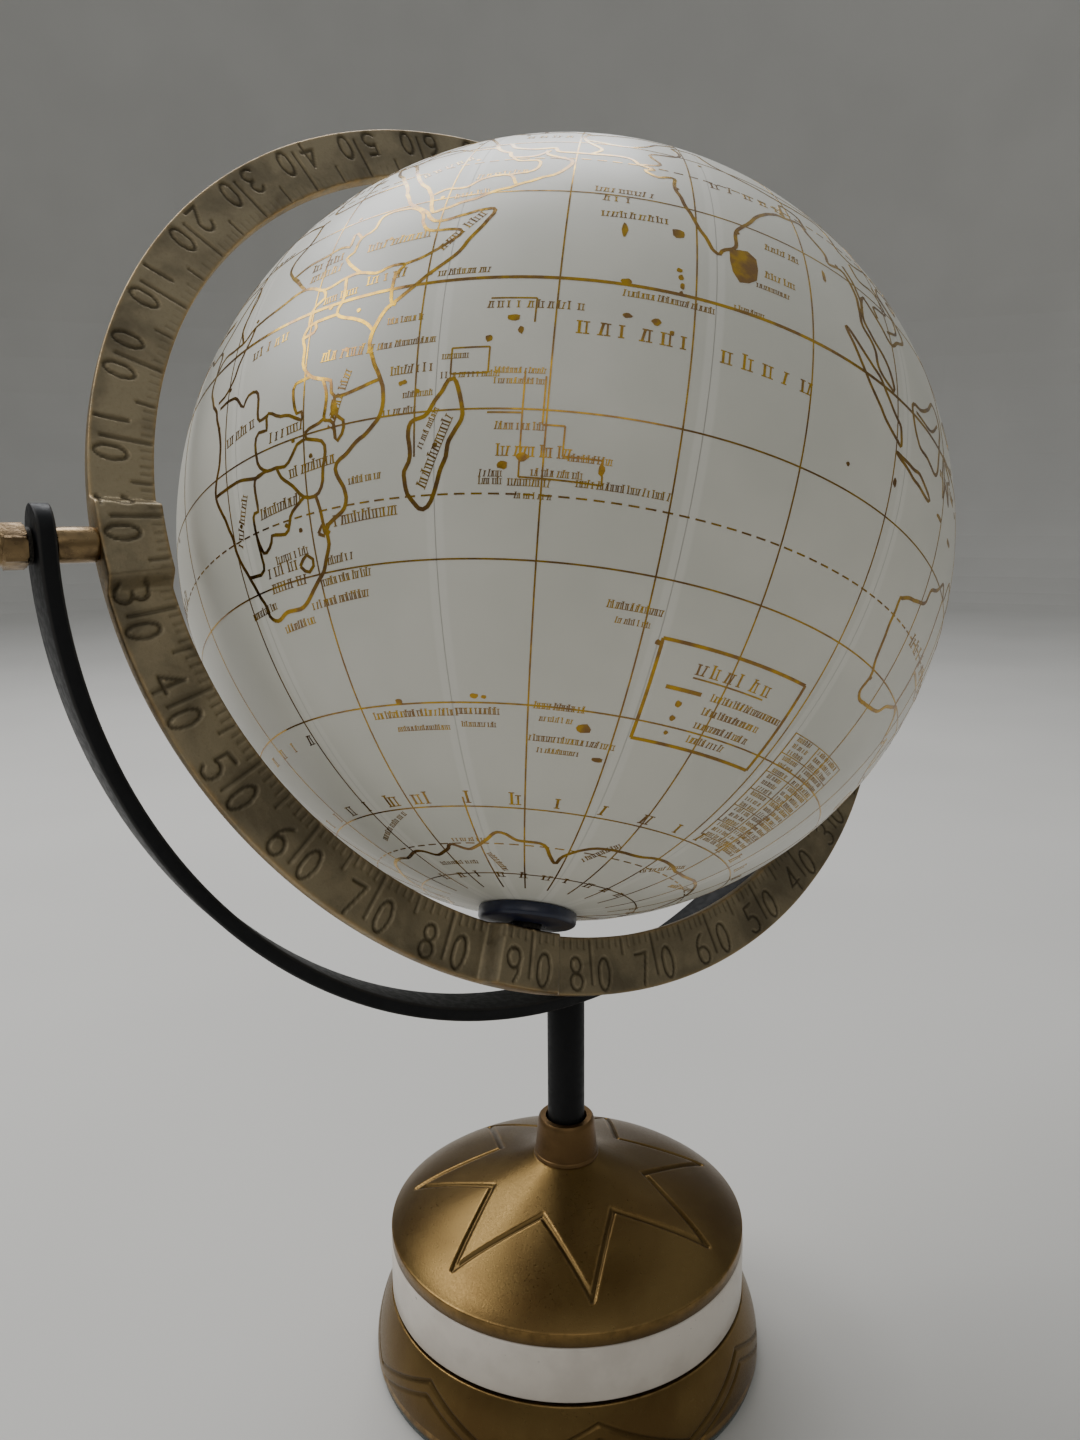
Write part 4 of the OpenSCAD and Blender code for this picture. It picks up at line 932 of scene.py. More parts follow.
def greeked(rows, random):
    """Rows of short upright and leaning bars that stand for names: nothing in them can be read.

    A row starts at its longitude and latitude and runs east, turned by its slant, with one mark per pitch.
    Each mark is a main bar of the row's height and, for most, a shorter bar beside it, both footed and topped
    with a short thin bar.
    """
    starts, ends, widths = [], [], []
    for longitude, latitude, count, height, pitch, slant in np.array(rows, float).reshape(-1, 6):
        along = np.arange(int(count)) * pitch
        turn = np.radians(slant)
        flat = np.maximum(np.cos(np.radians(latitude)), 0.1)
        deg = np.degrees(MM / BALL_R)
        place = np.stack([longitude + along * np.cos(turn) * deg / flat,
                          latitude + along * np.sin(turn) * deg], -1)
        at = directions(place)
        east = unit(np.cross(POLE, at))
        north = np.cross(at, east)
        row_way = np.cos(turn) * east + np.sin(turn) * north
        up = np.cos(turn) * north - np.sin(turn) * east
        first = height * random.choice([1.0, 0.8, 0.8], int(count))
        thick = max(0.17 * height, 0.26)
        stems = [(0.0, first, thick, 1.0), (0.42 * height, 0.78 * height, 0.7 * thick, 0.72)]
        for foot, tall, width, odds in stems:
            shown = random.random(int(count)) < odds
            tall = (tall + 0 * first)[:, None]
            lean = height * random.choice([0.0, 0.0, 0.16], int(count))[:, None]
            start = at * BALL_R + row_way * foot * MM
            end = start + (row_way * lean + up * tall) * MM
            serif = row_way * 0.19 * height * MM
            for low, high, broad in ((start, end, width), (start - serif, start + serif, 0.4 * thick),
                                     (end - serif, end + serif, 0.4 * thick)):
                starts.append(unit(low)[shown])
                ends.append(unit(high)[shown])
                widths.append(np.full(int(shown.sum()), broad * MM))
    return bars(np.concatenate(starts), np.concatenate(ends), np.concatenate(widths))


def gore_panel(number):
    """Shape and seam marks of one gore: a lune of the ball's skin, 0.3 mm thick, closed all round.

    Its outer points run across in cosine steps, finest at its seams; its inner points run back underneath.
    """
    broad, hole_r, paper = 360 // len(GORES), 6.5 * MM, 0.3 * MM
    first = np.degrees(settings("map").first_seam) + broad * (number - 1)
    gap = np.degrees(0.05 * MM / BALL_R)
    across = 0.5 - 0.5 * np.cos(np.linspace(0, np.pi, 29))
    share = np.concatenate([across, across[::-4]])
    longitude = first + gap + share * (broad - 2 * gap)
    reach = np.degrees(np.arccos(hole_r / BALL_R))
    latitude = np.linspace(-reach, reach, 141)
    path = np.stack(np.meshgrid(longitude, latitude), -1)
    radius = np.where(np.arange(len(share)) < len(across), BALL_R, BALL_R - paper)
    grid = BALL + directions(path) * radius[None, :, None]
    narrow = np.cos(np.radians(latitude))[:, None] * np.radians(broad) * BALL_R
    seam = np.minimum(share, 1 - share)[None, :] * narrow
    return outward(capped(grid)), np.concatenate([seam.ravel(), [0, 0]])


def pole_cap(sign):
    """Thick dished disc over a pole: it lies on the ball, with a rounded rim and a sunk seat."""
    radius, hole, seat_r, seat, thick, round_r = 15.0, 2.5, 5.5, 1.8, 4.0, 1.3
    ball = BALL_R / MM + 0.05

    def over_ball(r, gap):
        return (r, np.sqrt((ball + gap) ** 2 - r * r))
    sunk = [over_ball(hole, seat), over_ball(seat_r - 0.2, seat), over_ball(seat_r, seat + 0.2)]
    top = [over_ball(r, thick) for r in np.linspace(seat_r + 0.4, radius - round_r, 8)]
    low = [over_ball(r, 0) for r in np.linspace(radius - 0.6, hole, 10)]
    edge_r, edge_z = top[-1]
    rim = [*arc((edge_r, edge_z - round_r), round_r, 80, 0, 6),
           over_ball(radius, 0.6), over_ball(radius - 0.2, 0.2)]
    place = (BALL, np.array([RING_FRONT, sign * EAST, sign * POLE]))

    def worn_rim(around, r, height):
        return (r / radius) ** 4 * ripple(around, [(3, 0.10, 0.4), (7, 0.07, 2.0), (12, 0.04, 1.0)])
    return turned(sunk + top + rim + low, place, 128, worn_rim)


# Strokes of the ring's numbers, each in a box one wide and one tall with its foot at 0
RING_NUMBER_STROKES = {
    0: [arc((0.5, 0.5), (0.42, 0.5), 90, 450, 15)],
    1: [[(0.5, 0), (0.5, 1)]],
    2: [arc((0.48, 0.72), (0.42, 0.28), 165, -35, 9) + [(0.05, 0.02), (0.95, 0.0)]],
    3: [arc((0.45, 0.76), (0.40, 0.24), 150, -90, 8), arc((0.45, 0.27), (0.46, 0.26), 80, -150, 9)],
    4: [[(0.68, 0), (0.68, 1), (0.02, 0.34), (0.98, 0.34)]],
    5: [[(0.9, 1), (0.2, 0.98), (0.14, 0.56)] + arc((0.42, 0.30), (0.48, 0.30), 118, -150, 10)],
    6: [arc((0.5, 0.29), (0.45, 0.29), 0, 360, 13), arc((0.95, 0.32), (0.90, 0.68), 180, 104, 6)],
    7: [[(0.04, 0.97), (0.96, 1.0), (0.36, 0)]],
    8: [arc((0.5, 0.76), (0.36, 0.24), 0, 360, 12), arc((0.5, 0.26), (0.45, 0.26), 0, 360, 12)],
    9: [arc((0.5, 0.70), (0.44, 0.30), 0, 360, 13), [(0.94, 0.70), (0.86, 0.28), (0.58, 0)]]}


def ring_cut(theta, radius, random):
    """Depth shares, 0 to 1, of the marks stamped in the ring's front at each (angle, radius in mm).

    Every degree has a mark from the inner edge: short, longer at the fives, nearly across at the tens.
    Each ten also has its number, tens digit before the mark and units digit after it, tops to the ball.
    """
    inner, broad = RING_RI / MM, (RING_RO - RING_RI) / MM
    middle_r = inner + broad / 2
    wide = settings("metal").stamp_width / MM
    south = np.arctan2(-np.cos(LEAN), -np.sin(LEAN))
    cut = np.zeros((len(theta), len(radius)))
    for degree in range(360):
        offset = (theta - south - np.radians(degree) + np.pi) % FULL - np.pi
        near = np.abs(offset) < (11.0 if degree % 10 == 0 else 1.6) / middle_r
        across = offset[near][:, None] * radius[None, :]
        out = np.broadcast_to(radius, across.shape)
        shake = random.uniform(-1, 1, 3)
        worn = 0.5 - 0.5 * np.sin(south + np.radians(degree))
        if degree % 10 == 0:
            tall, width, deep = 0.85 * broad, wide, 0.9
        elif degree % 5 == 0:
            tall, width, deep = 0.38 * broad, wide * 0.86, 0.85
        else:
            tall, width, deep = 0.22 * broad, wide * 0.70, 0.12 + 0.50 * worn + 0.12 * shake[2]
        tick = [(0.12 * shake[0], inner - 2), (0.18 * shake[1], inner + tall - width / 2 + 0.35 * shake[2])]
        depth = deep * groove(nearest(across, out, tick), width)
        if degree % 10 == 0:
            step = degree // 10 % 18
            value = 90 - 10 * step if step <= 9 else 10 * (step - 9)
            for digit, place in ((value // 10, -5.7), (0, 4.8)):
                foot = 0.92 + random.uniform(-0.012, 0.012)
                for stroke in RING_NUMBER_STROKES[digit]:
                    path = [(place + 5.0 * (x - 0.5), inner + broad * (foot - (0.46 + 0.11 * worn) * y))
                            for x, y in stroke]
                    depth = np.maximum(depth, groove(nearest(across, out, path), width))
        cut[near] = np.maximum(cut[near], depth)
    return cut


def pad_share(theta):
    """1 on the four pads where pins cross the ring, easing to 0 on the plain plate between them."""
    pad_half, ease = 14.0, 4.5
    middles = [0, np.pi, np.pi / 2 - LEAN, -np.pi / 2 - LEAN]
    offset = [np.abs((theta - middle + np.pi) % FULL - np.pi) for middle in middles]
    away = np.min(offset, axis=0) * (RING_RI + RING_RO) / 2 / MM
    slope = np.clip((pad_half - away) / ease, 0, 1)
    return slope * slope * (3 - 2 * slope)


def ring_shape(random):
    """The meridian ring with its marks cut in: its skin as an angle x section grid, and its two marks.

    At angle t and section point (r, depth) a point is (r cos t, depth, r sin t) in the ring's own axes.
    The front is at the pads' height where a pad is, less the stamped depth, with a slow cast ripple.
    """
    count = 1800
    south = -np.pi / 2 - LEAN
    theta = south + np.arange(count) * FULL / count
    inner, outer = RING_RI / MM, RING_RO / MM
    face = np.linspace(inner + 0.5, outer - 0.5, 38)
    plate_front, pad_front, back = 0.7, -4.9, 4.9
    front = plate_front + (pad_front - plate_front) * pad_share(theta)
    front = front + 0.06 * ripple(theta, [(9, 1.0, 0.3), (23, 0.6, 1.1), (41, 0.4, 2.0)])
    cut = ring_cut(theta, face, random)
    fade = np.clip(np.minimum(face - inner, outer - face) / 1.2, 0, 1)
    depth = cut * settings("metal").stamp_depth / MM
    sections = [
        (face, front[:, None] + depth),
        ([outer - 0.15, outer], front[:, None] + [0.15, 0.5]),
        ([outer, outer - 0.15, outer - 0.5], np.broadcast_to([back - 0.5, back - 0.15, back], (count, 3))),
        ([inner + 0.5, inner + 0.15, inner], np.broadcast_to([back, back - 0.15, back - 0.5], (count, 3))),
        ([inner, inner + 0.15], front[:, None] + [0.5, 0.15])]
    radius = np.concatenate([np.asarray(part[0], float) for part in sections])
    deep = np.concatenate([part[1] for part in sections], axis=1)
    grid = np.stack([
        radius * np.cos(theta)[:, None], deep, radius * np.sin(theta)[:, None]], -1) * MM
    # Painted shade: the stamped marks' depth, faded near the face's edges, darkens them in the finish.
    recess_shade = np.zeros(deep.shape)
    recess_shade[:, :len(face)] = cut * fade
    wear = np.zeros(deep.shape)
    wear[:, len(face):] = 0.35
    wear[:, :len(face)] = 0.35 * np.clip(1.2 - np.minimum(face - inner, outer - face), 0, 1)
    points, quads, triangles = looped(grid)
    shape = outward((placed(points, RING_FRAME), quads, triangles))
    return shape, {"recess_shade": recess_shade, "wear": wear}


def hexagon(across_flats):
    """A swell that trims a turned part to a hexagon: the radius is the hexagon's where that is less."""
    def swell(around, radius, height):
        flat = across_flats / 2 / np.cos((around + np.pi / 6) % (np.pi / 3) - np.pi / 6)
        return np.minimum(flat, radius) - radius
    return swell


def cap_nut(start, across_flats, hex_height, dome_height, bore, place):
    """An acorn nut in mm up its place's Z axis: a chamfered hexagon with a domed cap on it."""
    corner = across_flats / 2 / np.cos(np.pi / 6)
    neck = across_flats / 2 * 0.93
    dome = [(neck * np.cos(t), start + hex_height + 0.2 + (dome_height - 0.2) * np.sin(t))
            for t in np.linspace(0, np.pi / 2, 9)[:-1]]
    outline = ([(bore, start), (corner - 0.5, start), (corner + 0.05, start + 0.45),
                (corner + 0.05, start + hex_height - 0.5), (neck + 0.3, start + hex_height), *dome,
                (0.02, start + hex_height + dome_height), (0.02, start + 0.6), (bore, start + 0.6)])
    return turned(outline, place, swell=hexagon(across_flats))


def yoke_shape():
    """The yoke as a bar swept along its half circle, its two straight rises and its two round tips.

    Each row is a rounded rectangle: 4.8 mm across the bar's thickness, and twice a half width along Y that
    shrinks as 8 sin b round a tip.
    """
    thick, middle = 2.4, YOKE_RO / MM - 2.4
    half, rise = YOKE_HALF / MM, 3.0
    tip = np.radians([3, 10, 20, 32, 45, 58, 70, 80, 90])
    tip_rows = [(middle, rise + half * np.cos(b), 1.0, 0.0, half * np.sin(b)) for b in tip]
    bend = np.linspace(0, np.pi, 181)
    bend_rows = [(middle * np.cos(a), -middle * np.sin(a), np.cos(a), -np.sin(a), half) for a in bend]
    rows = np.array(tip_rows + bend_rows + [(-x, z, -nx, nz, w) for x, z, nx, nz, w in tip_rows[::-1]])
    corner = np.minimum(0.9, rows[:, 4:5] * 0.8)
    turn = np.radians(np.arange(0, 90.1, 30))
    out, side, arris = [], [], []
    for number, (sign_n, sign_y) in enumerate([(1, 1), (-1, 1), (-1, -1), (1, -1)]):
        sweep = turn if number % 2 == 0 else turn[::-1]
        out.append(sign_n * (thick - corner + corner * np.cos(sweep)))
        side.append(sign_y * (rows[:, 4:5] - corner + corner * np.sin(sweep)))
        arris.append([0, 1, 1, 0])
    out, side = np.concatenate(out, 1), np.concatenate(side, 1)
    grid = np.stack([rows[:, 0:1] + rows[:, 2:3] * out, side, rows[:, 1:2] + rows[:, 3:4] * out], -1)
    wear = np.broadcast_to(np.concatenate(arris).astype(float), out.shape)
    points, quads, triangles = capped(grid * MM)
    marks = {"wear": np.concatenate([wear.ravel(), [0, 0]])}
    return outward((PIVOT + points, quads, triangles)), marks


STAR_AT = np.radians(-169.5)


def star_path(outer, inner):
    """Plan points of the seven-pointed star's closed line, an outer and an inner point in turn."""
    turn = STAR_AT + np.arange(15) * np.pi / 7
    reach = np.where(np.arange(15) % 2 == 0, outer, inner)
    return np.stack([reach * np.cos(turn), reach * np.sin(turn)], -1)


def dome_shape():
    """The cast dome with the star cut in, as a turned skin with fine steps round, and its two marks."""
    wall = 4
    neck, lip_r, top, low = COLLAR_R / MM + 0.1, LIP_R / MM, NECK_Z / MM, DOME_Z / MM
    crease, fall = lip_r - 0.3, top - low - 5.2
    run = crease - neck
    curve = bezier([(neck, top), (neck + 0.32 * run, top - 0.435 * fall),
                    (neck + 0.74 * run, top - 0.515 * fall), (crease, top - fall)], 104)
    lip = [(crease + 0.22, top - fall - 0.12), (lip_r, top - fall - 0.5), (lip_r, low + 0.3),
           (lip_r - 0.3, low)]
    under = [(lip_r - 4, low), (lip_r - 4.6, low + 2.4)]
    inside = [(r, z - wall) for r, z in curve[-8:2:-12] if r > 16]
    inside += [(14.0, top - 6.5), (ROD_HOLE_R, top - 4.6), (ROD_HOLE_R, top)]
    outline = np.concatenate([curve, lip, under, inside])
    grid = lathe_grid(outline, BASE_STEPS)
    skin = len(curve)
    x, y = grid[:skin, :, 0], grid[:skin, :, 1]
    away, wide = nearest(x, y, star_path(59.0, 30.0)), settings("metal").star_width / MM
    cut = groove(away, wide)
    grid[:skin, :, 2] -= cut * settings("metal").star_depth / MM
    radius = np.hypot(grid[..., 0], grid[..., 1])
    grid[:skin, :, 2] += 0.10 * ripple(np.arctan2(y, x), [(5, 1.0, 0.4), (11, 0.6, 1.9)]) * np.sin(
        np.clip((radius[:skin] - neck) / run, 0, 1) * np.pi)
    # Painted shade darkens the star's groove.
    recess_shade = np.zeros(radius.shape)
    recess_shade[:skin] = cut
    wear = np.zeros(radius.shape)
    wear[skin - 1:skin + 2] = 0.35
    rim = groove(np.abs(away - wide * 0.62), 0.9)
    wear[:skin] = np.maximum(wear[:skin], 0.3 * rim)
    return outward(looped(grid * MM)), {"recess_shade": recess_shade, "wear": wear}


def skirt_shape():
    """The cast skirt with its two zigzag lines cut in, seven peaks each, and a shadow groove at its top."""
    foot_r, foot_z, disc = FOOT_R / MM, SKIRT_Z / MM, DISC_Z / MM
    unrolled_r, peak_z, valley_z, line_wide, line_deep = 73.0, 22.4, 8.2, 1.7, 0.55
    curve = bezier([(68.4, disc - 1.0), (71.4, disc - 6.16), (74.6, disc - 14.19), (foot_r, 5.5)], 64)
    foot = [(foot_r, 4.4), (foot_r, 3.0), (foot_r - 0.4, foot_z)]
    inside = [(foot_r - 4.2, foot_z), (foot_r - 4.4, 6.0), (69.0, disc - 13), (64.5, disc - 4.2),
              (ROD_HOLE_R, disc - 4.2), (ROD_HOLE_R, disc)]
    groove_top = [(66.4, disc), (66.4, disc - 0.85), (67.9, disc - 0.95)]
    outline = np.concatenate([groove_top, curve, foot, inside])
    grid = lathe_grid(outline, BASE_STEPS)
    first, skin = len(groove_top), len(curve)
    part = slice(first, first + skin)
    around = np.linspace(0, FULL, BASE_STEPS, endpoint=False)[None, :]
    run = unrolled_r * ((around - STAR_AT) % FULL) + 0 * grid[part, :, 0]
    height = grid[part, :, 2]
    turn = np.arange(-1, 16) * np.pi / 7 * unrolled_r
    peak = np.arange(-1, 16) % 2 == 0
    cut = np.zeros(run.shape)
    for lower, share in ((0.0, 1.0), (4.6, 0.8)):
        zigzag = np.stack([turn, np.where(peak, peak_z, valley_z) - lower], -1)
        cut = np.maximum(cut, share * groove(nearest(run, height, zigzag), line_wide))
    radius = np.hypot(grid[part, :, 0], grid[part, :, 1])
    grid[part, :, :2] *= (1 - line_deep * cut / radius)[..., None]
    # Painted shade darkens the zigzag lines, and the shadow groove at the top is painted fully dark as
    # shadow.
    recess_shade = np.zeros(grid.shape[:2])
    recess_shade[part] = cut
    recess_shade[:first] = 1.0
    wear = np.zeros(grid.shape[:2])
    wear[first:first + 2] = 0.3
    wear[first + skin - 2:first + skin + 1] = 0.6
    return outward(looped(grid * MM)), {"recess_shade": recess_shade, "wear": wear}


# ---- Operators: one for each part of the globe, and one for the studio ----

class GLOBE_OT_ball(bpy.types.Operator):
    """Dresses the ball in twelve lacquered gores and two pole caps"""

    bl_idname = "globe.ball"
    bl_label = "Ball"

    def execute(self, context):
        for number, node in enumerate(GORES, 1):
            shape, seam = gore_panel(number)
            piece("gore_panel_%d" % number, shape, map_lacquer, "globe", [node],
                  marks={"seam": seam})
        for name, sign in (("north", 1), ("south", -1)):
            piece("pole_cap_" + name, pole_cap(sign), navy_paint, "globe", ["cap_" + name],
                  crease=50)
        return {"FINISHED"}


class GLOBE_OT_map(bpy.types.Operator):
    """Prints the foil map: coasts, borders, the grid, marks that stand for names, and the sea's boxes"""

    bl_idname = "globe.map"
    bl_label = "Foil map"

    def execute(self, context):
        wide = settings("map")
        random = np.random.default_rng(1971)
        rough = [(9.0, 0.55), (3.2, 0.34)]
        fine = [(7.0, 0.35), (3.0, 0.22)]
        closed = [AFRICA, MADAGASCAR, AUSTRALIA, NORTH_AMERICA, SOUTH_AMERICA, GREENLAND, *ISLANDS]
        coasts = [foil_line(outline, wide.coast, True, 1.2, rough, random) for outline in closed]
        coasts += [foil_line(outline, wide.coast, False, 1.2, rough, random)
                   for outline in (EURASIA, ANTARCTICA)]
        borders = [foil_line(outline, wide.border, False, 1.6, fine, random) for outline in BORDERS]
        towns = [[*place, 0.62, 0.62] for place in pairs(TOWNS)]
        grid = [parallel(latitude, wide.grid) for latitude in PARALLELS]
        for longitude in range(-180, 180, 15):
            stops = [(-79, -60), (-20, 79)] if longitude == 45 else [(-79, 79)]
            grid += [meridian(longitude, wide.grid, low, high) for low, high in stops]
        grid += [dashes(latitude, wide.grid) for latitude in (-68.2, -24.2, 23.45, 66.5)]
        west, east, south, north = LEGEND
        boxes = [parallel(level, wide.equator, west, east) for level in (south, north)]
        boxes += [meridian(side, wide.equator, south, north) for side in (west, east)]
        boxes += [parallel(-40.75, wide.grid, 84.2, 97), parallel(-42.4, wide.coast, 80.6, 86.6)]
        boxes += [foil_line(line, wide.grid, False, 1.0) for line in INSETS for line in self.straight(line)]
        keys = [[83.6, -44.1, 0.9, 0.9], [83.6, -45.9, 0.8, 0.8], [83.6, -47.8, 0.6, 0.6]]
        west, east, south, north = TABLE
        levels = np.arange(north, south - 0.1, -0.95)
        columns = np.array([west + 1.5, west + 9, west + 13.5])
        rows = [[column, level - 0.75, 6, 1.3, 1.25, 0] for level in levels for column in columns]
        boxes += [parallel(level, wide.grid * 0.6, west, east) for level in levels[::3]]
        boxes += [meridian(side, wide.grid, south, north) for side in (west, west + 8, west + 12.6, east)]
        pieces = {
            "foil_coastlines": joined(coasts), "foil_borders": joined(borders),
            "foil_towns": spots(towns), "foil_islands": spots(SPOTS), "foil_graticule": joined(grid),
            "foil_equator": parallel(0.6, wide.equator), "foil_sea_boxes": joined(boxes),
            "foil_legend_keys": spots(keys), "foil_name_marks": greeked(NAMES, random),
            "foil_legend_marks": greeked(LEGEND_NAMES, random), "foil_scale_marks": greeked(rows, random)}
        for name, shape in pieces.items():
            piece(name, shape, gold_foil, "globe", crease=40)
        return {"FINISHED"}

    @staticmethod
    def straight(line):
        """The straight runs of a line, each as a line of its own."""
        corners = pairs(line)
        return [np.array([a, (a + b) / 2, b]).ravel() for a, b in zip(corners[:-1], corners[1:])]


class GLOBE_OT_ring(bpy.types.Operator):
    """Casts the meridian ring with its stamped degrees, and turns the fittings on its pins"""

    bl_idname = "globe.ring"
    bl_label = "Meridian ring"

    def execute(self, context):
        shape, marks = ring_shape(np.random.default_rng(90))
        piece("stamped_ring", shape, ring_brass, "ring", ["meridian_ring"], 75, marks)
        across = (PIVOT, np.array([RING_UP, RING_FRONT, RIGHT]))
        polar = (PIVOT, np.array([RING_FRONT, EAST, POLE]))
        sleeve = [(2.2, 155.7), (4.0, 155.7), (4.7, 156.4), (4.8, 157.2), (4.8, 165.6), (4.6, 166.5),
                  (4.0, 166.9), (2.2, 166.9)]
        piece("turned_sleeves", both_sides(turned(sleeve, across, 64)), fitting_brass, "ring",
              ["pivot_spacers"], 40)
        washer = [(2.2, 172.5), (4.8, 172.5), (5.0, 172.7), (5.0, 173.7), (4.8, 173.9), (2.2, 173.9)]
        piece("blacked_washers", both_sides(turned(washer, across, 64)), blackened_washer, "ring",
              ["pivot_washers"], 40)
        nut = cap_nut(173.9, 10.6, 6.0, 4.2, 2.2, across)
        piece("acorn_nuts", both_sides(nut), fitting_brass, "ring", ["pivot_nuts"], 38)
        north = [(2.2, 123.7), (4.3, 123.7), (4.5, 124.0), (4.5, 137.7), (4.2, 138.1), (2.2, 138.1)]
        piece("north_sleeve", turned(north, polar, 64), fitting_brass, "ring",
              ["north_spacer"], 40)
        south = [(2.2, -138.1), (4.2, -138.1), (4.5, -137.8), (4.5, -135.2), (4.2, -134.9), (2.2, -134.9)]
        piece("south_washer", turned(south, polar, 64), blackened_washer, "ring",
              ["thrust_washer"], 40)
        return {"FINISHED"}


class GLOBE_OT_stand(bpy.types.Operator):
    """Bends the black yoke and turns the post and its collar"""

    bl_idname = "globe.stand"
    bl_label = "Yoke and post"

    def execute(self, context):
        shape, marks = yoke_shape()
        piece("bent_yoke", shape, iron_paint, "root", ["yoke"], 50, marks)
        top = PIVOT[2] / MM - YOKE_RO / MM + 0.12
        foot = NECK_Z / MM
        post = [(ROD_HOLE_R, foot), (6.6, foot), (7.0, foot + 0.4), (7.0, top - 0.4), (6.8, top),
                (ROD_HOLE_R, top)]
        piece("turned_post", turned(post, WORLD, 96), iron_paint, "root", ["post"], 40)
        collar = [(7.6, foot), (12.4, foot), (12.4, foot + 1.0), (12.1, foot + 1.5), (11.9, foot + 1.6),
                  (11.85, foot + 2.2), (11.4, foot + 7.0), (10.9, foot + 13.2), (10.5, foot + 14.8),
                  (9.9, foot + 15.4), (7.9, foot + 15.4), (7.6, foot + 15.0)]
        piece("turned_collar", turned(collar, WORLD, 128), collar_bronze, "root",
              ["collar"], 40)
        return {"FINISHED"}


class GLOBE_OT_base(bpy.types.Operator):
    """Casts the dome and the skirt with their cut lines, and turns the white disc between them"""

    bl_idname = "globe.base"
    bl_label = "Base"

    def execute(self, context):
        shape, marks = dome_shape()
        piece("star_dome", shape, antique_brass, "root", ["base_dome"], 75, marks)
        shape, marks = skirt_shape()
        piece("zigzag_skirt", shape, antique_brass, "root", ["base_skirt"], 75, marks)
        radius, low, high = DISC_R / MM, DISC_Z / MM, DOME_Z / MM
        disc = [(ROD_HOLE_R, low), (radius - 0.8, low), (radius - 0.25, low + 0.25), (radius, low + 0.8),
                (radius, high - 0.9), (radius - 0.3, high - 0.3), (radius - 0.9, high), (ROD_HOLE_R, high)]

        def soft_rim(around, r, height):
            return (r / radius) ** 8 * (ripple(around, [(3, 0.05, 0.2), (8, 0.04, 1.0)]) - 0.09)

        piece("enamelled_disc", turned(disc, WORLD, 256, soft_rim), warm_enamel, "root",
              ["white_disc"], 45)
        return {"FINISHED"}


class GLOBE_OT_finishes(bpy.types.Operator):
    """Gives every CAD part that still shows its real material"""

    bl_idname = "globe.finishes"
    bl_label = "Finishes"

    def execute(self, context):
        groups = [
            (wool_felt, ["felt_pad"]), (moulded_shell, ["shell_north", "shell_south", "equator_band"]),
            (moulded_shell, ["bush_north", "bush_south"]),
            (zinc_steel, ["pole_rod", "pivot_studs", "tie_rod", "base_washer", "base_nut"]),
            (blackened_washer, ["yoke_washer"]), (iron_paint, ["yoke_cap_nut"])]
        for maker, nodes in groups:
            for node in nodes:
                mesh = frame["nodes"][node].data
                mesh.materials.clear()
                mesh.materials.append(finish(maker))
        return {"FINISHED"}


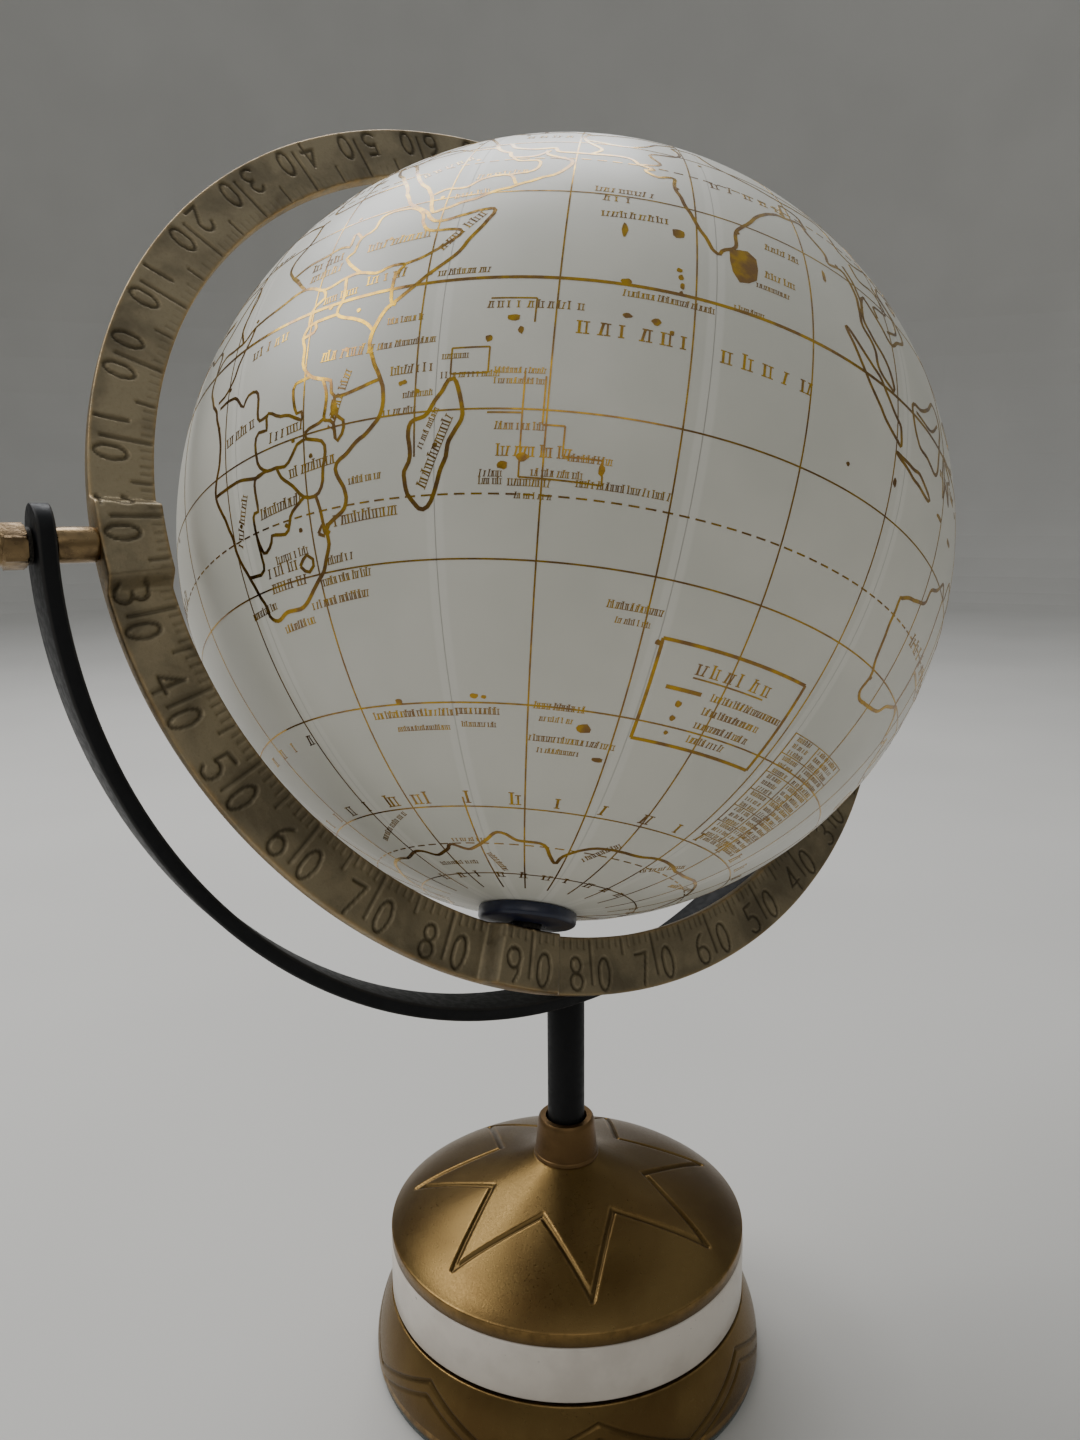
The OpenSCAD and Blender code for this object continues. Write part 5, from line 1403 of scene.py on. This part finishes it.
class GLOBE_OT_studio(bpy.types.Operator):
    """Sets the pale floor, the soft window light and the camera"""

    bl_idname = "globe.studio"
    bl_label = "Studio"

    def execute(self, context):
        studio = settings("studio")
        sweep = arc((3400, 1199.95), 1200, 0, -90, 14)
        backdrop = [(0, -20), (4620, -20), (4620, 3200), (4600, 3200), *sweep, (0, -0.05)]
        self.floor(turned(backdrop, WORLD, 128), studio_paint("studio_floor_paint", studio.floor))
        world = bpy.data.worlds.new("studio_world")
        world.use_nodes = True
        world.node_tree.nodes.clear()
        light = add(world.node_tree, "ShaderNodeBackground", {"Color": rgba(studio.sky), "Strength": 0.85})
        add(world.node_tree, "ShaderNodeOutputWorld", {"Surface": light.outputs[0]})
        context.scene.world = world
        aim = PIVOT - (0, 0, 0.05)
        self.light("left_window", aim, -46, 46, 2.1, (1.2, 0.85), 17.5, "#fbfcff")
        self.light("right_window", aim, 18, 56, 2.1, (1.6, 1.1), 32.0, "#fbfcff")
        self.light("front_fill", aim, -150, 38, 2.2, (1.6, 1.2), 3.5, "#fff8f0")
        self.light("left_fill", aim, -85, 22, 2.4, (1.2, 1.8), 1.2, "#f4f7ff")
        context.scene.camera = self.camera(studio)
        return {"FINISHED"}

    @staticmethod
    def floor(shape, material):
        """A large round floor, at the table's height, that sweeps up into a wall far away all round."""
        points, quads, triangles = shape
        mesh = bpy.data.meshes.new("studio_floor")
        mesh.from_pydata(points.tolist(), [], quads.tolist() + triangles.tolist())
        mesh.materials.append(material)
        thing = bpy.data.objects.new("studio_floor", mesh)
        bpy.context.scene.collection.objects.link(thing)

    @staticmethod
    def light(name, aim, azimuth, elevation, far, size, watts, tone):
        """A soft rectangular light at an azimuth from +Y towards +X and an elevation, facing its aim."""
        side, up = np.radians(azimuth), np.radians(elevation)
        away = np.array([np.sin(side) * np.cos(up), np.cos(side) * np.cos(up), np.sin(up)])
        lamp = bpy.data.lights.new(name, "AREA")
        lamp.shape = "RECTANGLE"
        lamp.size, lamp.size_y = size
        lamp.energy = watts
        lamp.color = linear(tone)
        thing = bpy.data.objects.new(name, lamp)
        facing = Vector(away).to_track_quat("Z", "Y").to_matrix().to_4x4()
        thing.matrix_world = Matrix.Translation(aim + far * away) @ facing
        thing.visible_camera = False
        bpy.context.scene.collection.objects.link(thing)

    @staticmethod
    def camera(studio):
        """The camera, level with the pivots and to the left of the front, looking down at the globe."""
        swing, rise, roll = studio.swing, studio.rise, studio.roll
        away = np.array([-np.sin(swing) * np.cos(rise), -np.cos(swing) * np.cos(rise), np.sin(rise)])
        heading, pitch = studio.heading, studio.pitch
        ahead = np.array([np.sin(heading) * np.cos(pitch), np.cos(heading) * np.cos(pitch), np.sin(pitch)])
        level = np.array([np.cos(heading), -np.sin(heading), 0])
        upward = np.cross(level, ahead)
        right = np.cos(roll) * level + np.sin(roll) * upward
        up = -np.sin(roll) * level + np.cos(roll) * upward
        lens = bpy.data.cameras.new("studio_camera")
        lens.sensor_width = 36.0
        lens.lens = studio.lens
        lens.clip_start = 0.02
        thing = bpy.data.objects.new("studio_camera", lens)
        turn = Matrix([right.tolist(), up.tolist(), (-ahead).tolist()]).transposed().to_4x4()
        thing.matrix_world = Matrix.Translation(PIVOT + studio.stand_off * away) @ turn
        bpy.context.scene.collection.objects.link(thing)
        return thing


class GLOBE_PT_panel(bpy.types.Panel):
    """Sidebar panel with the globe's parts and their settings"""

    bl_label = "Desktop Globe"
    bl_idname = "GLOBE_PT_panel"
    bl_space_type = "VIEW_3D"
    bl_region_type = "UI"
    bl_category = "Globe"

    def draw(self, context):
        for operator in OPERATORS:
            self.layout.operator(operator.bl_idname)
        for part in ("map", "metal", "studio"):
            group = settings(part)
            box = self.layout.box()
            for name in group.__annotations__:
                box.prop(group, name)


# ---- Registration, and the run ----

GROUPS = {
    "globe_map": GlobeMapSettings, "globe_metal": GlobeMetalSettings, "globe_studio": GlobeStudioSettings}
OPERATORS = [
    GLOBE_OT_ball, GLOBE_OT_map, GLOBE_OT_ring, GLOBE_OT_stand, GLOBE_OT_base, GLOBE_OT_finishes,
    GLOBE_OT_studio]


def register():
    """Registers the settings, the operators and the panel."""
    for name, group in GROUPS.items():
        bpy.utils.register_class(group)
        setattr(bpy.types.Scene, name, bpy.props.PointerProperty(type=group))
    for kind in [*OPERATORS, GLOBE_PT_panel]:
        bpy.utils.register_class(kind)


def unregister():
    """Takes them all away again, last first."""
    for kind in [GLOBE_PT_panel, *reversed(OPERATORS)]:
        bpy.utils.unregister_class(kind)
    for name, group in reversed(GROUPS.items()):
        delattr(bpy.types.Scene, name)
        bpy.utils.unregister_class(group)


def main():
    """Registers everything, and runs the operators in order."""
    register()
    for operator in OPERATORS:
        group, name = operator.bl_idname.split(".")
        getattr(getattr(bpy.ops, group), name)()


if __name__ == "__main__":
    main()
